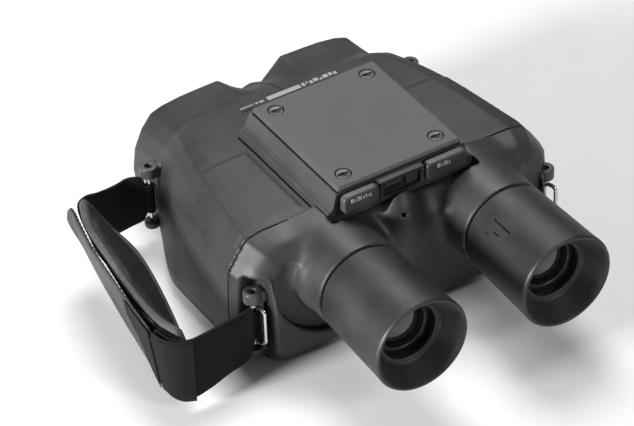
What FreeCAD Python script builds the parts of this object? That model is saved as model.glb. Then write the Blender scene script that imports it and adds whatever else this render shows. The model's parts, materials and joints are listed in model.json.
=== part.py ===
import FreeCAD, Part
import math
import os

# Laser range-finding binoculars with a hand strap, in millimetres.
# X to the right of the user, Y towards the target, Z up.
# The origin is the mouth of the tripod thread, in the flat underside.

V = FreeCAD.Vector
GAP = 0.3
SIDES = ((-1, "left"), (1, "right"))

# optics: each eyepiece is carried by a turret that turns about its objective axis
OBJ_X = 36.0
OBJ_Z = 26.0
OBJ_TUBE_R = 21.6
OBJ_TUBE_BORE_R = 20.9
OBJ_LENS_R = 20.85
FOCUS_LENS_R = 15.0
EYE_X = 37.2
EYE_Z = 42.9
TURRET_DEG = 28.0
PRISM_HALF = 8.0
PRISM_FACE = 5.4
PRISM_FRONT_Y = -34.7
GEAR_PITCH_R = 36.0
GEAR_PITCH_DEG = 5.0
GEAR_Y = -32.4
GEAR_THICK = 2.8
GEAR_ARC = (143.0, 189.0)

# outer outline of the right half, from the top centre line round to the bottom centre line
REAR_OUTLINE = [(0, 61.7), (6, 61.7), (17, 61.7), (38, 61.7), (65, 61.7), (72.5, 60.0), (77.5, 53.4),
                (82, 46.5), (83, 30), (83, 12), (81, 3.2), (76, 0), (0, 0)]
MID_OUTLINE = [(0, 61.7), (6, 61.7), (17, 61.7), (38, 61.7), (58, 61.5), (65, 59.5), (70.5, 53.0),
               (75.0, 45.0), (78.0, 30), (82.0, 10), (81.0, 2.6), (76, 0), (0, 0)]
SHOULDER_OUTLINE = [(0, 58.5), (6, 58.5), (17, 59.0), (38, 59.3), (51, 58.8), (57, 56.6), (62, 51.0),
                    (66.5, 43.0), (68.2, 29), (70, 9.5), (68.6, 2.8), (63, 0), (0, 0)]
NECK_OUTLINE = [(0, 54.0), (6, 53.8), (17, 54.2), (38, 53.8), (47, 52.6), (53, 50.0), (58.5, 44.5),
                (63, 37.0), (65, 25), (64, 10), (60.5, 3), (53, 0), (0, 0)]
HOOD_OUTLINE = [(0, 42.4), (6, 40.6), (17, 51.3), (38, 50.8), (47, 49.4), (53, 47.4), (58.5, 40.5),
                (62.6, 31.0), (64, 20), (62.4, 9), (57.0, 3), (48, 0.6), (0, 0.6)]
STATIONS = [(-29.0, REAR_OUTLINE), (20.0, MID_OUTLINE), (54.0, SHOULDER_OUTLINE),
            (68.0, NECK_OUTLINE), (89.0, HOOD_OUTLINE)]
ARMOUR = 2.2
WALL = 2.6
BEZEL_Y = 68.0
CASTING_END_Y = 78.4
FRONT_WALL_Y = 60.0
BUSH_R = 12.0
BUSH_STEM_R = 6.0
BATTERY_Z = 20.0
BATTERY_TUBE_R = 9.8
CAP_R = 10.3
MODULE_R = 3.4
MODULE_Z = 51.3

# rear cover
COVER_OUTLINES = [
    (-29.4, REAR_OUTLINE),
    (-39.0, [(0, 60.2), (6, 60.2), (17, 60.2), (38, 60.0), (63, 59.6), (69.5, 57.5), (75.5, 51.0),
             (79.4, 45.0), (80.6, 30), (80.2, 12), (77.4, 4.2), (72, 0.3), (0, 0.3)]),
    (-50.0, [(0, 51.0), (6, 51.0), (17, 51.0), (38, 50.6), (57, 50.2), (63.0, 48.0), (68, 43.5),
             (71.5, 38.0), (73.4, 28), (73.2, 15), (70.5, 7.4), (64, 3.2), (0, 3.2)])]
COVER_WALL = 2.0
REAR_FACE_Y = -50.0
COWL_END_Y = -66.2
BARREL_R = 21.7
POCKET_R = 30.0
POCKET_Y = -45.5
NECK_R = 12.0

# eyepieces
FLANGE_R = 20.4
FLANGE_END_Y = -67.6
CUP_START_Y = -67.9
CUP_END_Y = -113.5
CUP_R = 23.1
SLEEVE_R = 17.0
SLEEVE_BORE_R = 15.0
SLEEVE_END_Y = -101.0
CELL_BORE_R = 13.0
EYE_LENS_R = 12.9
RUNNING = 0.05

# top block
BLOCK_BACK_Y = -40.5
BLOCK_FRONT_Y = 33.2
PLATE_HALF_X = 31.0
PLATE_Y = (-40.2, 30.2)
PLATE_Z = (74.6, 77.0)
REAR_SCREWS = [(sx * x, 6.8) for sx in (-1, 1) for x in (17.0, 44.0)]
STRIP_HALF_X = 26.0
STRIP_DEEP = 1.2
THREAD_R = 2.55
THREAD_DEPTH = 8.6
STEMS_X = (-17.4, 16.4)
SCREW_AT = [(sx * 24.0, y) for sx in (-1, 1) for y in (-32.0, 23.4)]

# strap lugs and bails
REAR_LUG = (77.0, -40.4, 41.5)
FRONT_LUG = (70.6, 60.0, 43.0)
LUG_R = 4.2
BAIL_R = 1.0
EAR_HEIGHT = 34.4
BAIL_OUT = 6.0
BAIL_BEND_R = 2.6
LOOP_R = 2.1
LOOP_BORE_R = 1.35
WEB_THICK = 1.8
PAD_THICK = 4.0

os.makedirs("parts", exist_ok=True)


def save(name, *shapes):
    shape = shapes[0] if len(shapes) == 1 else Part.makeCompound(list(shapes))
    if not shape.isValid():
        print("not valid:", name)
    shape.exportStep("parts/" + name + ".step")


def box(x0, x1, y0, y1, z0, z1):
    return Part.makeBox(x1 - x0, y1 - y0, z1 - z0, V(x0, y0, z0))


def rod_y(r, y0, y1, x, z):
    return Part.makeCylinder(r, y1 - y0, V(x, y0, z), V(0, 1, 0))


def rod_z(r, z0, z1, x, y):
    return Part.makeCylinder(r, z1 - z0, V(x, y, z0), V(0, 0, 1))


def tube_y(r_out, r_in, y0, y1, x, z):
    return rod_y(r_out, y0, y1, x, z).cut(rod_y(r_in, y0 - 1, y1 + 1, x, z))


def cone_y(r0, r1, y0, y1, x, z):
    return Part.makeCone(r0, r1, y1 - y0, V(x, y0, z), V(0, 1, 0))


def mirrored(shape):
    return shape.mirror(V(0, 0, 0), V(1, 0, 0))


def moved_in(outline, depth):
    """The outline pulled in by depth along its corners' bisectors."""
    ring = outline + [(-x, z) for x, z in reversed(outline) if x > 0]
    result = []
    for i in range(len(outline)):
        x0, z0 = ring[i - 1]
        x1, z1 = ring[i]
        x2, z2 = ring[(i + 1) % len(ring)]
        a = math.atan2(z1 - z0, x1 - x0)
        b = math.atan2(z2 - z1, x2 - x1)
        turn = (b - a + math.pi) % (2 * math.pi) - math.pi
        mid = a + turn / 2
        reach = depth / math.cos(turn / 2)
        x = x1 + math.sin(mid) * reach
        z = z1 - math.cos(mid) * reach
        result.append((0.0 if x1 == 0 else x, z))
    return result


def ring_wire(outline, y):
    right = [V(x, y, z) for x, z in outline]
    left = [V(-x, y, z) for x, z in reversed(outline) if x > 0]
    return Part.makePolygon(right + left + [right[0]])


def between(stations, y):
    """The outline at y, along straight lines between the two nearest stations."""
    for (y0, low), (y1, high) in zip(stations, stations[1:]):
        if min(y0, y1) <= y <= max(y0, y1):
            t = (y - y0) / (y1 - y0)
            return [(a[0] + (b[0] - a[0]) * t, a[1] + (b[1] - a[1]) * t) for a, b in zip(low, high)]
    return stations[0][1] if abs(y - stations[0][0]) < abs(y - stations[-1][0]) else stations[-1][1]


def body_loft(stations, y_from, y_to, depth=0.0):
    """Straight-sided loft of the body between two places, pulled in by depth."""
    inner = [y for y, _ in stations if min(y_from, y_to) < y < max(y_from, y_to)]
    places = [y_from] + inner + [y_to]
    wires = []
    for y in places:
        outline = between(stations, y)
        wires.append(ring_wire(moved_in(outline, depth) if depth else outline, y))
    return Part.makeLoft(wires, True, True)


def half(shape, side):
    keep = box(0, 200, -200, 200, -50, 200) if side > 0 else box(-200, 0, -200, 200, -50, 200)
    return shape.common(keep)


def eye_offset(turn_deg):
    """Where the right eyepiece axis stands when its turret is turned in by turn_deg."""
    dx = EYE_X - OBJ_X
    dz = EYE_Z - OBJ_Z
    a = math.radians(turn_deg)
    return OBJ_X + dx * math.cos(a) - dz * math.sin(a), OBJ_Z + dx * math.sin(a) + dz * math.cos(a)


def slot_cutter(r, y0, y1):
    """The kidney-shaped way that the right turret's neck needs over its travel."""
    steps = 8
    cutter = None
    for i in range(steps + 1):
        x, z = eye_offset(TURRET_DEG * i / steps)
        rod = rod_y(r, y0, y1, x, z)
        cutter = rod if cutter is None else cutter.fuse(rod)
    return cutter.removeSplitter()


def carrier_room():
    """Room inside the rear cover for the right prism carrier over its travel."""
    room = stadium(16.0, -48.0, -39.0)
    for turn in (TURRET_DEG / 2, TURRET_DEG):
        turned = stadium(16.0, -48.0, -39.0)
        turned.rotate(V(OBJ_X, 0, OBJ_Z), V(0, 1, 0), -turn)
        room = room.fuse(turned)
    return room.removeSplitter()


def block_profile(inset, z_base, z_top):
    return [(-37.6 + inset, z_base), (37.6 - inset, z_base), (37.6 - inset, 65.5 - inset),
            (35.0 - inset, 67.3 - inset / 2), (33.2 - inset, z_top), (-33.2 + inset, z_top),
            (-35.0 + inset, 67.3 - inset / 2), (-37.6 + inset, 65.5 - inset)]


def prism_along_y(points, y0, y1):
    face = Part.Face(Part.makePolygon([V(x, y0, z) for x, z in points + points[:1]]))
    return face.extrude(V(0, y1 - y0, 0))


# ---------------------------------------------------------------- housing and skins

def main_housing():
    casting = body_loft(STATIONS, -28.6, CASTING_END_Y, ARMOUR)
    hollow = body_loft(STATIONS, -28.7, FRONT_WALL_Y, ARMOUR + WALL)
    casting = casting.cut(hollow)
    for side in (-1, 1):
        casting = casting.cut(rod_y(OBJ_TUBE_R + RUNNING, 21, CASTING_END_Y + 1, side * OBJ_X, OBJ_Z))
        casting = casting.cut(lug_socket(side, FRONT_LUG))
    casting = casting.cut(rod_y(BATTERY_TUBE_R + RUNNING, FRONT_WALL_Y - 5, CASTING_END_Y + 1, 0, BATTERY_Z))
    casting = casting.cut(rod_z(BUSH_R + RUNNING, -1, 3.6, 0, 0))
    casting = casting.cut(rod_z(BUSH_STEM_R + RUNNING, -1, 12, 0, 0))
    board_window = box(-30, 30, -26, 24, 50, 70)
    return casting.cut(board_window)


def rubber_skin():
    skin = body_loft(STATIONS, -29.0, BEZEL_Y, 0).cut(body_loft(STATIONS, -29.0, BEZEL_Y, ARMOUR))
    skin = skin.cut(box(-38, 38, -30, BLOCK_FRONT_Y + 0.4, 50, 70))
    skin = skin.cut(rod_z(BUSH_R + RUNNING, -1, 4, 0, 0))
    skin = skin.cut(strip_blank(STRIP_HALF_X + RUNNING, STRIP_DEEP))
    for side in (-1, 1):
        skin = skin.cut(lug_socket(side, FRONT_LUG))
    return skin


def hood_bezels():
    bezel = body_loft(STATIONS, BEZEL_Y, 89.0, 0).cut(body_loft(STATIONS, BEZEL_Y, CASTING_END_Y, ARMOUR))
    for side in (-1, 1):
        bezel = bezel.cut(rod_y(OBJ_TUBE_R + RUNNING, CASTING_END_Y - 1, 84.5, side * OBJ_X, OBJ_Z))
        bezel = bezel.cut(cone_y(22.0, 23.6, 84.4, 89.1, side * OBJ_X, OBJ_Z))
    bezel = bezel.cut(rod_y(BATTERY_TUBE_R + RUNNING, CASTING_END_Y - 1, 85, 0, BATTERY_Z))
    return bezel.cut(rod_y(CAP_R + GAP, 83.9, 92, 0, BATTERY_Z))


def rear_cover():
    cover = body_loft(COVER_OUTLINES, -29.4, REAR_FACE_Y, 0)
    for side in (-1, 1):
        pocket = rod_y(POCKET_R, REAR_FACE_Y - 6, POCKET_Y, side * EYE_X, EYE_Z)
        pocket = pocket.cut(box(-200, 200, -60, -40, EYE_Z + 4, 100))
        lo, hi = sorted((side * (EYE_X + 1), side * 200))
        pocket = pocket.common(box(lo, hi, -60, -40, 0, 60))
        cover = cover.cut(pocket)
    cover = cover.fuse(rod_y(BARREL_R, COWL_END_Y, -38, EYE_X, EYE_Z))
    cover = cover.fuse(rod_y(BARREL_R, COWL_END_Y, -38, -EYE_X, EYE_Z))
    for side in (-1, 1):
        cover = cover.cut(rod_y(BARREL_R - COVER_WALL, COWL_END_Y + COVER_WALL, -47.0, side * EYE_X, EYE_Z))
    cover = cover.cut(body_loft(COVER_OUTLINES, -29.4, -40.0, COVER_WALL))
    cavity = carrier_room()
    slot = slot_cutter(NECK_R + 0.4, COWL_END_Y - 1, -47)
    cover = cover.cut(cavity).cut(mirrored(cavity)).cut(slot).cut(mirrored(slot))
    cover = cover.cut(box(-38.2, 38.2, -45.6, -29, 59.2, 70))
    for side in (-1, 1):
        lo, hi = sorted((side * 71.5, side * 95.0))
        cover = cover.cut(box(lo, hi, -60, -35.5, -1, 47.0))
        cover = cover.cut(lug_socket(side, REAR_LUG))
    for x, z in REAR_SCREWS:
        cover = cover.fuse(rod_y(3.8, -49.0, -44.0, x, z)).cut(rod_y(1.1, -60, -20, x, z))
        cover = cover.cut(rod_y(2.6, -60, -47.4, x, z))
    return cover


def rear_seal():
    seal = body_loft(STATIONS, -29.0, -28.6, ARMOUR + 0.2)
    seal = seal.cut(body_loft(STATIONS, -29.0, -28.6, ARMOUR + 1.6))
    return seal.cut(box(-30, 30, -30, -26, 50, 70))


def bulkhead():
    plate = body_loft(STATIONS, -27.0, -23.5, ARMOUR + WALL + 0.1)
    for side in (-1, 1):
        plate = plate.cut(rod_y(NECK_R + RUNNING, -30, -20, side * OBJ_X, OBJ_Z))
    for x, z in REAR_SCREWS:
        plate = plate.cut(rod_y(1.05, -30, -20, x, z))
    return plate.cut(box(-20, 20, -30, -20, 44, 70))


# ---------------------------------------------------------------- top block

def top_block():
    block = prism_along_y(block_profile(0, 50.0, 74.5), BLOCK_BACK_Y, BLOCK_FRONT_Y)
    wedge = Part.Face(Part.makePolygon([V(-50, 31.0, 74.6), V(-50, 40, 74.6), V(-50, 40, 66.0),
                                        V(-50, BLOCK_FRONT_Y, 66.0), V(-50, 31.0, 74.6)]))
    wedge = wedge.extrude(V(100, 0, 0))
    block = block.cut(wedge)
    block = block.cut(box(-60, 60, BLOCK_BACK_Y - 1, -29.1, 40, 59.6))
    block = block.cut(body_loft(STATIONS, -29.2, 54, ARMOUR))
    block = block.cut(prism_along_y(block_profile(2.4, 40.0, 90.0), BLOCK_BACK_Y + 2.5, 28.0))
    for x in STEMS_X:
        block = block.cut(rod_y(2.0 + RUNNING, BLOCK_BACK_Y - 1, BLOCK_BACK_Y + 4, x, 70))
    bosses = None
    for x, y in SCREW_AT:
        boss = rod_z(3.2, 60.2, 74.5, x, y).cut(rod_z(1.25, 66, 75, x, y))
        tie = box(min(x, x * 1.41), max(x, x * 1.41), y - 1, y + 1, 61, 70).cut(rod_z(1.25, 66, 75, x, y))
        bosses = boss.fuse(tie) if bosses is None else bosses.fuse(boss).fuse(tie)
    return block.fuse(bosses)


def top_cover():
    plate = box(-PLATE_HALF_X - 1, PLATE_HALF_X + 1, PLATE_Y[0], PLATE_Y[1] + 1, PLATE_Z[0] + 0.4, PLATE_Z[1])
    rim = [e for e in plate.Edges if all(abs(v.Point.z - PLATE_Z[1]) < 0.01 for v in e.Vertexes)]
    plate = plate.makeChamfer(1.0, rim)
    for x, y in SCREW_AT:
        plate = plate.cut(rod_z(1.5, 70, 80, x, y)).cut(rod_z(3.85, PLATE_Z[1] - 1.2, 80, x, y))
    return plate


def cover_gasket():
    sheet = box(-PLATE_HALF_X, PLATE_HALF_X, PLATE_Y[0] + 1, PLATE_Y[1], PLATE_Z[0], PLATE_Z[0] + 0.3)
    sheet = sheet.cut(box(-28.5, 28.5, PLATE_Y[0] + 3.4, 27.5, 70, 80))
    for x, y in SCREW_AT:
        sheet = sheet.cut(rod_z(1.6, 70, 80, x, y))
    return sheet


def cover_screws():
    screws = []
    for x, y in SCREW_AT:
        head = rod_z(3.5, PLATE_Z[1] - 1.2, PLATE_Z[1] - 0.1, x, y)
        screw = head.fuse(rod_z(1.2, 66.5, PLATE_Z[1] - 1.0, x, y))
        screw = screw.cut(box(x - 2.6, x + 2.6, y - 0.4, y + 0.4, PLATE_Z[1] - 0.7, 80))
        screws.append(screw.removeSplitter())
    for x, z in REAR_SCREWS:
        screw = rod_y(2.4, -49.4, -47.4, x, z).fuse(rod_y(1.0, -48.0, -24.0, x, z))
        screws.append(screw.cut(box(x - 1.8, x + 1.8, -50, -48.8, z - 0.35, z + 0.35)).removeSplitter())
    return screws


def strip_blank(x, deep):
    """Bar that lies on the skin's slope in front of the block, deep mm into it."""
    bar = box(-x, x, 50.4, 54.4, 59.6 - deep, 59.8)
    bar.rotate(V(0, 52.4, 59.8), V(1, 0, 0), -5.4)
    return bar


def marking_strip():
    return strip_blank(STRIP_HALF_X, STRIP_DEEP)


def button(side):
    x0, x1, stem_x = (-32.0, -13.6, STEMS_X[0]) if side < 0 else (10.8, 32.0, STEMS_X[1])
    cap = box(x0, x1, -45.4, -42.0, 65.4, 74.4)
    rounded = [e for e in cap.Edges if abs(e.Vertexes[0].Point.y - e.Vertexes[-1].Point.y) > 3]
    cap = cap.makeFillet(2.6, rounded)
    stem = rod_y(2.0, -42.2, BLOCK_BACK_Y + 3.4, stem_x, 70)
    return cap.fuse(stem).removeSplitter()


def button_switches():
    return [box(x - 3, x + 3, BLOCK_BACK_Y + 4.8, BLOCK_BACK_Y + 9, 67, 73) for x in STEMS_X]


def recess_panel():
    panel = box(-12.8, 10.0, -44.2, BLOCK_BACK_Y - 0.02, 64.2, 74.4)
    return panel.cut(box(-11.2, 8.4, -45, -42.0, 65.8, 72.8))


# ---------------------------------------------------------------- objectives, electronics, battery

def objective_tube():
    tube = tube_y(OBJ_TUBE_R, OBJ_TUBE_BORE_R, 22, 83.8, OBJ_X, OBJ_Z)
    seat = tube_y(OBJ_TUBE_BORE_R, 19.4, 70.0, 71.8, OBJ_X, OBJ_Z)
    return tube.fuse(seat).removeSplitter()


def objective_lens():
    return thick_lens(OBJ_LENS_R, 71.9, 75.6, 0.5, 1.6, OBJ_X, OBJ_Z)


def objective_ring():
    return tube_y(OBJ_LENS_R, 19.2, 76.0, 78.4, OBJ_X, OBJ_Z)


def focus_lens():
    return thick_lens(FOCUS_LENS_R, 40.5, 43.0, 0.8, 0.6, OBJ_X, OBJ_Z)


def focus_cell():
    return tube_y(OBJ_LENS_R, FOCUS_LENS_R + RUNNING, 39.0, 44.5, OBJ_X, OBJ_Z)


def range_module(side):
    return rod_y(MODULE_R, 24.0, 34.0, side * OBJ_X, MODULE_Z)


def thick_lens(r, y_back, y_front, bulge_back, bulge_front, x, z):
    """A lens with a straight rim from y_back to y_front and a spherical face at each end."""
    lens = rod_y(r, y_back - bulge_back, y_front + bulge_front, x, z)
    for y, bulge, way in ((y_back - bulge_back, bulge_back, 1), (y_front + bulge_front, bulge_front, -1)):
        ball_r = (r * r + bulge * bulge) / (2 * bulge)
        lens = lens.common(Part.makeSphere(ball_r, V(x, y + way * ball_r, z)))
    return lens


def circuit_board():
    board = box(-27, 27, -22, 20, 51.0, 52.6)
    chips = [box(-20, -8, -14, -2, 52.6, 54.2),
             box(4, 18, -12, 4, 52.6, 54.6),
             box(-16, -6, 6, 14, 52.6, 53.8)]
    for chip in chips:
        board = board.fuse(chip)
    return board


def compass_module():
    return box(-16, 16, -18, 14, 62.0, 63.6).fuse(box(-9, 9, -12, 6, 63.4, 72.0)).removeSplitter()


def battery_tube():
    tube = tube_y(BATTERY_TUBE_R, 9.0, 4.0, 83.8, 0, BATTERY_Z)
    return tube.fuse(rod_y(BATTERY_TUBE_R, 3.0, 4.0, 0, BATTERY_Z)).removeSplitter()


def battery_cells():
    cells = []
    for y in (9.0, 44.0):
        can = rod_y(8.5, y, y + 33.4, 0, BATTERY_Z)
        cells.append(can.fuse(rod_y(3.0, y + 33.2, y + 34.6, 0, BATTERY_Z)))
    return cells


def battery_spring():
    """Conical contact spring, simplified to stacked rings."""
    turns = [Part.makeTorus(r, 0.35, V(0, y, 20), V(0, 1, 0)) for r, y in
             ((6.0, 4.4), (5.2, 5.1), (4.4, 5.8), (3.6, 6.5), (2.8, 7.2))]
    for a, b in ((6.0, 4.4), (5.2, 5.1), (4.4, 5.8), (3.6, 6.5)):
        turns.append(Part.makeCylinder(0.3, 1.05, V(a - 0.1, b, 20), V(-0.75, 0.66, 0)))
    spring = turns[0]
    for piece in turns[1:]:
        spring = spring.fuse(piece)
    return spring.fuse(Part.makeCylinder(2.6, 0.5, V(0, 7.0, 20), V(0, 1, 0)))


def battery_cap():
    cap = rod_y(CAP_R, 84.2, 90.0, 0, BATTERY_Z)
    edge = [e for e in cap.Edges if abs(e.BoundBox.YMin - 90) < 0.01 and abs(e.BoundBox.YMax - 90) < 0.01]
    cap = cap.makeChamfer(0.8, edge)
    cap = cap.cut(box(-6, 6, 88.2, 91, 19.2, 20.8))
    for i in range(18):
        a = math.radians(20 * i)
        grip_r = CAP_R + GAP
        cap = cap.cut(rod_y(0.7, 84.9, 91, grip_r * math.cos(a), BATTERY_Z + grip_r * math.sin(a)))
    plug = rod_y(8.6, 79.5, 84.4, 0, BATTERY_Z)
    return cap.fuse(plug).removeSplitter()


def tripod_bush():
    bush = rod_z(BUSH_R, 0, 3.4, 0, 0).fuse(rod_z(BUSH_STEM_R, 3, 10.0, 0, 0)).removeSplitter()
    return bush.cut(rod_z(THREAD_R, -1, THREAD_DEPTH, 0, 0))


# ---------------------------------------------------------------- eyepieces (right side)

def eyepiece_base():
    base = rod_y(FLANGE_R, FLANGE_END_Y, COWL_END_Y - GAP, EYE_X, EYE_Z)
    base = base.fuse(rod_y(SLEEVE_R, SLEEVE_END_Y, FLANGE_END_Y + 0.5, EYE_X, EYE_Z))
    base = base.fuse(rod_y(NECK_R, COWL_END_Y - GAP - 0.5, -47.4, EYE_X, EYE_Z))
    base = base.cut(rod_y(SLEEVE_BORE_R, SLEEVE_END_Y - 1, -69.0, EYE_X, EYE_Z))
    return base.cut(rod_y(10.0, -71, -40, EYE_X, EYE_Z)).removeSplitter()


def stadium(r, y0, y1):
    """Rounded bar from the objective axis to the eyepiece axis."""
    dx, dz = EYE_X - OBJ_X, EYE_Z - OBJ_Z
    reach = math.hypot(dx, dz)
    bar = Part.makeBox(2 * r, y1 - y0, reach, V(-r, y0, 0))
    bar.rotate(V(0, 0, 0), V(0, 1, 0), math.degrees(math.atan2(dx, dz)))
    bar.translate(V(OBJ_X, 0, OBJ_Z))
    bar = bar.fuse(rod_y(r, y0, y1, OBJ_X, OBJ_Z)).fuse(rod_y(r, y0, y1, EYE_X, EYE_Z))
    return bar.removeSplitter()


def prism_carrier():
    carrier = stadium(14.5, -47.4, -33.2).cut(stadium(12.6, -46.2, -34.4))
    carrier = carrier.fuse(rod_y(NECK_R, -34.0, -22.5, OBJ_X, OBJ_Z))
    carrier = carrier.cut(rod_y(9.0, -34.6, -20, OBJ_X, OBJ_Z))
    return carrier.cut(rod_y(9.0, -50, -46, EYE_X, EYE_Z)).removeSplitter()


def rhomboid_prism():
    reach = math.hypot(EYE_X - OBJ_X, EYE_Z - OBJ_Z)
    a = PRISM_FACE
    y0, y1 = PRISM_FRONT_Y, PRISM_FRONT_Y - 2 * a
    section = ((y0, -a), (y0, reach - a), (y1, reach + a), (y1, a), (y0, -a))
    points = [V(-PRISM_HALF, y, z) for y, z in section]
    prism = Part.Face(Part.makePolygon(points)).extrude(V(2 * PRISM_HALF, 0, 0))
    prism.rotate(V(0, 0, 0), V(0, 1, 0), math.degrees(math.atan2(EYE_X - OBJ_X, EYE_Z - OBJ_Z)))
    prism.translate(V(OBJ_X, 0, OBJ_Z))
    return prism


def gear_plate(points):
    """Thin plate at the gear's depth from (radius, angle) or (x, z) points round the objective axis."""
    ring = [V(OBJ_X + x, GEAR_Y, OBJ_Z + z) for x, z in points]
    return Part.Face(Part.makePolygon(ring + ring[:1])).extrude(V(0, GEAR_THICK, 0))


def gear_tooth(centre_deg):
    root, tip = GEAR_PITCH_R - 1.3, GEAR_PITCH_R + 0.85
    a = math.radians(centre_deg)
    corners = ((root, -1.1), (tip, -0.36), (tip, 0.36), (root, 1.1))
    c, s = math.cos(a), math.sin(a)
    return gear_plate([(u * c - w * s, u * s + w * c) for u, w in corners])


def sync_gear(side):
    """Toothed sector that meshes with its mirror on the centre line."""
    phase = 0.0 if side > 0 else GEAR_PITCH_DEG / 2
    first, last = GEAR_ARC
    disc_r = GEAR_PITCH_R - 1.1
    steps = 23
    arc = [math.radians(first + (last - first) * i / steps) for i in range(steps + 1)]
    sector = [(0, 0)] + [(disc_r * math.cos(a), disc_r * math.sin(a)) for a in arc]
    gear = rod_y(NECK_R + 4, GEAR_Y, GEAR_Y + GEAR_THICK, OBJ_X, OBJ_Z).fuse(gear_plate(sector))
    centre = 180 + 2 * GEAR_PITCH_DEG - phase
    while centre > first + 1:
        if centre <= last - 1:
            gear = gear.fuse(gear_tooth(centre))
        centre -= GEAR_PITCH_DEG
    gear = gear.cut(rod_y(NECK_R, -40, -20, OBJ_X, OBJ_Z))
    return gear.removeSplitter()


def lens_cell():
    cell = tube_y(SLEEVE_BORE_R - RUNNING, CELL_BORE_R, -97.0, -71.8, EYE_X, EYE_Z)
    lip = tube_y(SLEEVE_BORE_R - RUNNING, 10.8, -98.4, -97.0, EYE_X, EYE_Z)
    stop = tube_y(CELL_BORE_R, 9.0, -73.8, -72.3, EYE_X, EYE_Z)
    return cell.fuse(lip).fuse(stop).removeSplitter()


def eye_lenses():
    eye = thick_lens(EYE_LENS_R, -96.3, -91.0, 1.2, 0.6, EYE_X, EYE_Z)
    field = thick_lens(EYE_LENS_R, -82.0, -77.0, 0.8, 1.6, EYE_X, EYE_Z)
    return eye, field


def eyecup():
    cup = cone_y(CUP_R, BARREL_R, CUP_END_Y, CUP_START_Y, EYE_X, EYE_Z)
    rim = [e for e in cup.Edges if e.BoundBox.YMax < CUP_END_Y + 0.01]
    cup = cup.makeFillet(0.9, rim)
    cup = cup.cut(rod_y(SLEEVE_R + RUNNING, -101.6, -60, EYE_X, EYE_Z))
    cup = cup.cut(rod_y(13.2, -110, -60, EYE_X, EYE_Z))
    return cup.cut(cone_y(21.4, 14.6, CUP_END_Y - 0.1, -103.0, EYE_X, EYE_Z))


# ---------------------------------------------------------------- lugs, bails, strap

def lug_socket(side, lug):
    """Square hole that the lug's arm is set into."""
    x, y, z = lug
    lo, hi = sorted((side * (x - 9.0), side * (x + 1.0)))
    return box(lo, hi, y - 3.2, y + 3.2, z - 6.6, z - 0.6)


def strap_lug(side, lug):
    """Ear with an upper and a lower eye for the bail's upright wire, on an arm set into the body."""
    x, y, z = lug
    foot_z = z - EAR_HEIGHT
    eyes = rod_z(LUG_R, z - 5.6, z, side * x, y).fuse(rod_z(LUG_R - 0.6, foot_z, foot_z + 3.2, side * x, y))
    post = box(*sorted((side * (x - LUG_R), side * (x - 2.4))), y - 2.6, y + 2.6, foot_z, z)
    outside = eyes.fuse(post).cut(body_loft(STATIONS, -29.0, BEZEL_Y, 0))
    arm = box(*sorted((side * (x - 8.8), side * (x - 1.0))), y - 3.0, y + 3.0, z - 6.4, z - 0.8)
    ear = outside.fuse(arm)
    return ear.cut(rod_z(BAIL_R + RUNNING, foot_z - 1, z - 1.8, side * x, y)).removeSplitter()


def bend(before, corner, after):
    """Quarter-round bend of the wire's centre line at a corner in XZ; returns its two ends and the arc."""
    start = corner + (before - corner).normalize() * BAIL_BEND_R
    end = corner + (after - corner).normalize() * BAIL_BEND_R
    centre = start + (after - corner).normalize() * BAIL_BEND_R
    mid = centre + (corner - centre).normalize() * BAIL_BEND_R
    return start, end, Part.Arc(start, mid, end).toShape()


def bail(side, lug, swing):
    """Wire loop between the lug's two ears, turned by swing about its upright axis."""
    x, y, z = lug
    top, bottom = z - 3.4, z - EAR_HEIGHT + 1.0
    high, low = top - 5.4, bottom + 5.4
    turns = ((0, top), (0, high), (BAIL_OUT, high), (BAIL_OUT, low), (0, low), (0, bottom))
    path = [V(u, 0, w) for u, w in turns]
    edges = []
    at = path[0]
    for i in range(1, len(path) - 1):
        start, end, arc = bend(path[i - 1], path[i], path[i + 1])
        edges += [Part.LineSegment(at, start).toShape(), arc]
        at = end
    edges.append(Part.LineSegment(at, path[-1]).toShape())
    section = Part.Wire(Part.Circle(V(0, 0, top), V(0, 0, 1), BAIL_R).toShape())
    loop = Part.Wire(edges).makePipeShell([section], True, False)
    loop = loop.fuse(rod_z(BAIL_R, bottom, top, 0, 0)).removeSplitter()
    loop.rotate(V(0, 0, 0), V(0, 0, 1), swing)
    loop.translate(V(side * x, y, 0))
    return loop


def ribbon(stations, thick, outward):
    """Flat strap through (top, bottom) edge points, thick mm deep towards outward."""
    wires = []
    for i, (top, bottom) in enumerate(stations):
        before = stations[max(i - 1, 0)]
        after = stations[min(i + 1, len(stations) - 1)]
        run = (V(*after[0]) + V(*after[1])) - (V(*before[0]) + V(*before[1]))
        across = V(*top) - V(*bottom)
        normal = run.cross(across)
        normal.normalize()
        shift = normal * (thick * outward)
        corners = [V(*top), V(*bottom), V(*bottom) + shift, V(*top) + shift]
        wires.append(Part.makePolygon(corners + corners[:1]))
    return Part.makeLoft(wires, True, True)


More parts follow.
